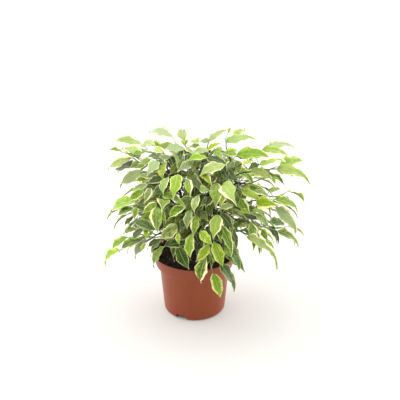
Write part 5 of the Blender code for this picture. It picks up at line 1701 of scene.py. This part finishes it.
def strand_mesh(name, strands):
    """Paths as one mesh of edges, each strand given as its places, thicknesses and shares of green."""
    places = [place for path, _, _ in strands for place in path]
    edges, first = [], 0
    for path, _, _ in strands:
        edges += [(first + step, first + step + 1) for step in range(len(path) - 1)]
        first += len(path)
    return attributed(name, places, edges, {
        "thick": [value for _, thick, _ in strands for value in thick],
        "green": [value for _, _, green in strands for value in green]})


def twig_strand(spray, bud):
    """A spray's twig, swollen a little where it bears a leaf, ending in a long pointed bud."""
    radii = [radius * TWIG_SLIMNESS * (SWOLLEN_NODE if index in spray.leaves else BARE_NODE)
             for index, radius in enumerate(twig_radii(spray.path))]
    last = len(spray.path) - 1
    green = [(index / last) ** GREENING for index in range(last + 1)]
    tip = spray.path[-1] + spray.runs[-1] * bud
    return spray.path + [tip], radii + [BUD_POINT], green + [1.0]


def stalk_strand(leaf):
    """A leaf's stalk from inside its twig, then its rib under the blade."""
    middle = leaf.node.lerp(leaf.base, STALK_MIDDLE) + Vector((0.0, 0.0, STALK_BEND))
    rib = [leaf.place(along, 0.0) - leaf.normal * RIB_DROP for along in RIB_SHARES]
    places = [leaf.node, middle, leaf.base] + rib
    radii = [PETIOLE_RADIUS * share for share in STALK_TAPER] + list(RIB_RADII)
    return places, radii, [1.0] * len(places)


class FIG_OT_wood(bpy.types.Operator):
    """Make each cutting's stem, twigs, buds, leaf stalks and ribs"""

    bl_idname = "fig.wood"
    bl_label = "Stems and stalks"

    def execute(self, context):
        settings = context.scene.fig_wood
        bark, skin = bark_material(settings), stalk_material(context.scene.fig_leaf)
        tree = strand_tree()
        paths, sprays = whole_plant()
        for name, path in paths.items():
            own = [spray for spray in sprays if spray.stem == name]
            stem = [(path, stem_radii(path), [0.0] * len(path))]
            twigs = [twig_strand(spray, settings.bud) for spray in own]
            stalks = [stalk_strand(leaf) for spray in own for leaf in spray.leaves.values()]
            for label, strands, sides, steps, finish in (
                    ("wood", stem, settings.stem_sides, STEM_STEPS, bark),
                    ("twigs", twigs, settings.twig_sides, TWIG_STEPS, bark),
                    ("stalks", stalks, settings.stalk_sides, STALK_STEPS, skin)):
                piece = made_by(tree, f"{name}_{label}", strand_mesh(name, strands), {
                    "Sides": sides, "Steps": steps, "Material": finish})
                settle(piece, name)
        return {"FINISHED"}


def leaf_values(leaves, rng):
    """What each leaf is laid out and coloured by, under the names that the leaf tree and material read."""
    looks = [LEAF_LOOKS[leaf.age] for leaf in leaves]
    heights = [min(1.0, max(0.0, 1 - (TOP_HEIGHT - leaf.base.z) / PALE_DEPTH)) for leaf in leaves]
    folds = [LEAF_FOLD[leaf.age] for leaf in leaves]
    return {
        "foot": [leaf.base for leaf in leaves],
        "run": [leaf.tip - leaf.base for leaf in leaves],
        "spread": [leaf.side * (leaf.width / 2 * math.cos(fold)) for leaf, fold in zip(leaves, folds)],
        "rise": [leaf.normal * (leaf.width / 2 * math.sin(fold)) for leaf, fold in zip(leaves, folds)],
        "lift": [leaf.normal * leaf.length for leaf in leaves],
        "facing": [leaf.normal for leaf in leaves],
        "sideways": [leaf.side * leaf.length for leaf in leaves],
        "seed": [rng.random() for _ in leaves],
        "youth": [youth for youth, _, _, _ in looks],
        # Each leaf's own brightness at random, lowered deep in the crown, partly with age and partly as
        # painted shade, and raised at the top of the crown as painted light
        "tone": [max(rng.uniform(*TONES), youth) * (1 - AGE_AND_SHADE_DARKENING * depth) + TOP_PAINTED_LIGHT * height * (1 - youth)
                 for (youth, _, depth, _), height in zip(looks, heights)],
        # Each leaf's own paleness at random, and more at the top of the crown as a painted sheen
        "pale": [pale * rng.uniform(*PALENESSES) + TOP_PAINTED_SHEEN * height
                 for (_, pale, _, _), height in zip(looks, heights)],
        # How deep in the crown a leaf lies, which the material lays on as painted shade
        "depth": [depth for _, _, depth, _ in looks],
        "margin": [margin * rng.uniform(*MARGINS) ** 2 for _, _, _, margin in looks],
        "splash": [leaf.splash or rng.choice((-1, 1)) * rng.random() ** 4 * SPLASH for leaf in leaves],
    }


class FIG_OT_leaves(bpy.types.Operator):
    """Make each cutting's leaves"""

    bl_idname = "fig.leaves"
    bl_label = "Leaves"

    def execute(self, context):
        settings = context.scene.fig_leaf
        finish, tree = blade_material(settings), leaf_tree()
        paths, sprays = whole_plant()
        for name in paths:
            leaves = [leaf for spray in sprays if spray.stem == name for leaf in spray.leaves.values()]
            values = leaf_values(leaves, random.Random(name))
            mesh = attributed(name, values["foot"], [], values)
            piece = made_by(tree, f"{name}_leaves", mesh, {
                "Rows": settings.steps + 1, "Thickness": settings.thickness, "Arch": LEAF_ARCH,
                "Wave": LEAF_WAVE, "Ripple": settings.ripple, "Notching": settings.notching,
                "Bow": settings.bow, "Droop": settings.droop, "Material": finish})
            settle(piece, name)
        return {"FINISHED"}


def lay_floor(stage):
    """Lay the table top, which is not attached to the plant."""
    mesh = bpy.data.meshes.new("floor")
    reach = stage.reach
    corners = [(-reach, -reach, 0.0), (reach, -reach, 0.0), (reach, reach, 0.0), (-reach, reach, 0.0)]
    mesh.from_pydata(corners, [], [(0, 1, 2, 3)])
    linked("floor", mesh, floor_material(stage))


def light_room(stage):
    """A white room round the scene, darker on the camera's side and lighter to the left and right."""
    world = bpy.data.worlds.new("white_room")
    world.use_nodes = True
    room = world.node_tree
    toward = add(room, COORDINATES, out="Generated")
    way = add(room, "ShaderNodeSeparateXYZ", (toward,)).node.outputs
    level = stage.sky * LEVEL_SHARE
    lit = add(room, MATH, (way["Y"], stage.front_shade * stage.sky, level), operation="MULTIPLY_ADD")
    beside = add(room, MATH, (way["X"], way["X"]), operation="MULTIPLY")
    lit = add(room, MATH, (beside, stage.side_light * stage.sky, lit), operation="MULTIPLY_ADD")
    plug(room, room.nodes["Background"], {"Strength": lit, "Color": (1.0, 1.0, 1.0)})
    bpy.context.scene.world = world


def hang_key_light(stage):
    """A very broad light from above and behind, a little to the left."""
    light = bpy.data.lights.new("key_light", "SUN")
    light.energy, light.angle = stage.key, stage.breadth
    lamp = linked("key_light", light)
    lamp.location = KEY_PLACE
    lamp.rotation_euler = (CROWN_MIDDLE - KEY_PLACE).to_track_quat("-Z", "Y").to_euler()


def aim_camera(stage):
    """A camera at the eye that the front sprays were laid out from."""
    lens = bpy.data.cameras.new("camera")
    lens.sensor_fit, lens.sensor_width = "HORIZONTAL", 36.0
    lens.lens = stage.focal / (2 * PICTURE_MIDDLE) * lens.sensor_width
    camera = linked("camera", lens)
    camera.location = EYE
    camera.rotation_euler = (math.pi / 2 - VIEW_PITCH, 0.0, 0.0)
    bpy.context.scene.camera = camera


class FIG_OT_stage(bpy.types.Operator):
    """Make the pale floor, the soft light and the camera"""

    bl_idname = "fig.stage"
    bl_label = "Stage, light and camera"

    def execute(self, context):
        for build in (lay_floor, light_room, hang_key_light, aim_camera):
            build(context.scene.fig_stage)
        context.scene.view_settings.view_transform = "Standard"
        return {"FINISHED"}


class FIG_PT_panel(bpy.types.Panel):
    """Sizes, colours and pieces of the potted fig"""

    bl_label = "Weeping Fig"
    bl_idname = "FIG_PT_panel"
    bl_space_type = "VIEW_3D"
    bl_region_type = "UI"
    bl_category = "Weeping Fig"

    def draw(self, context):
        for operator in OPERATORS:
            self.layout.operator(operator.bl_idname)
        for group in SETTINGS:
            box = self.layout.box()
            settings = getattr(context.scene, group)
            for name in settings.bl_rna.properties.keys():
                if name not in ("rna_type", "name"):
                    box.prop(settings, name)


SETTINGS = {"fig_leaf": FigLeafSettings, "fig_wood": FigWoodSettings, "fig_pot": FigPotSettings,
            "fig_stage": FigStageSettings}
OPERATORS = (FIG_OT_pot, FIG_OT_soil, FIG_OT_wood, FIG_OT_leaves, FIG_OT_stage)


def register():
    """Add the settings, operators and panel to Blender."""
    for name, group in SETTINGS.items():
        bpy.utils.register_class(group)
        setattr(bpy.types.Scene, name, bpy.props.PointerProperty(type=group))
    for made in (*OPERATORS, FIG_PT_panel):
        bpy.utils.register_class(made)


def unregister():
    """Take the settings, operators and panel out of Blender."""
    for made in (FIG_PT_panel, *reversed(OPERATORS)):
        bpy.utils.unregister_class(made)
    for name, group in SETTINGS.items():
        delattr(bpy.types.Scene, name)
        bpy.utils.unregister_class(group)


def main():
    """Add the settings and operators, then make every piece, the stage last."""
    register()
    for made in OPERATORS:
        group, name = made.bl_idname.split(".")
        getattr(getattr(bpy.ops, group), name)()


if __name__ == "__main__":
    main()
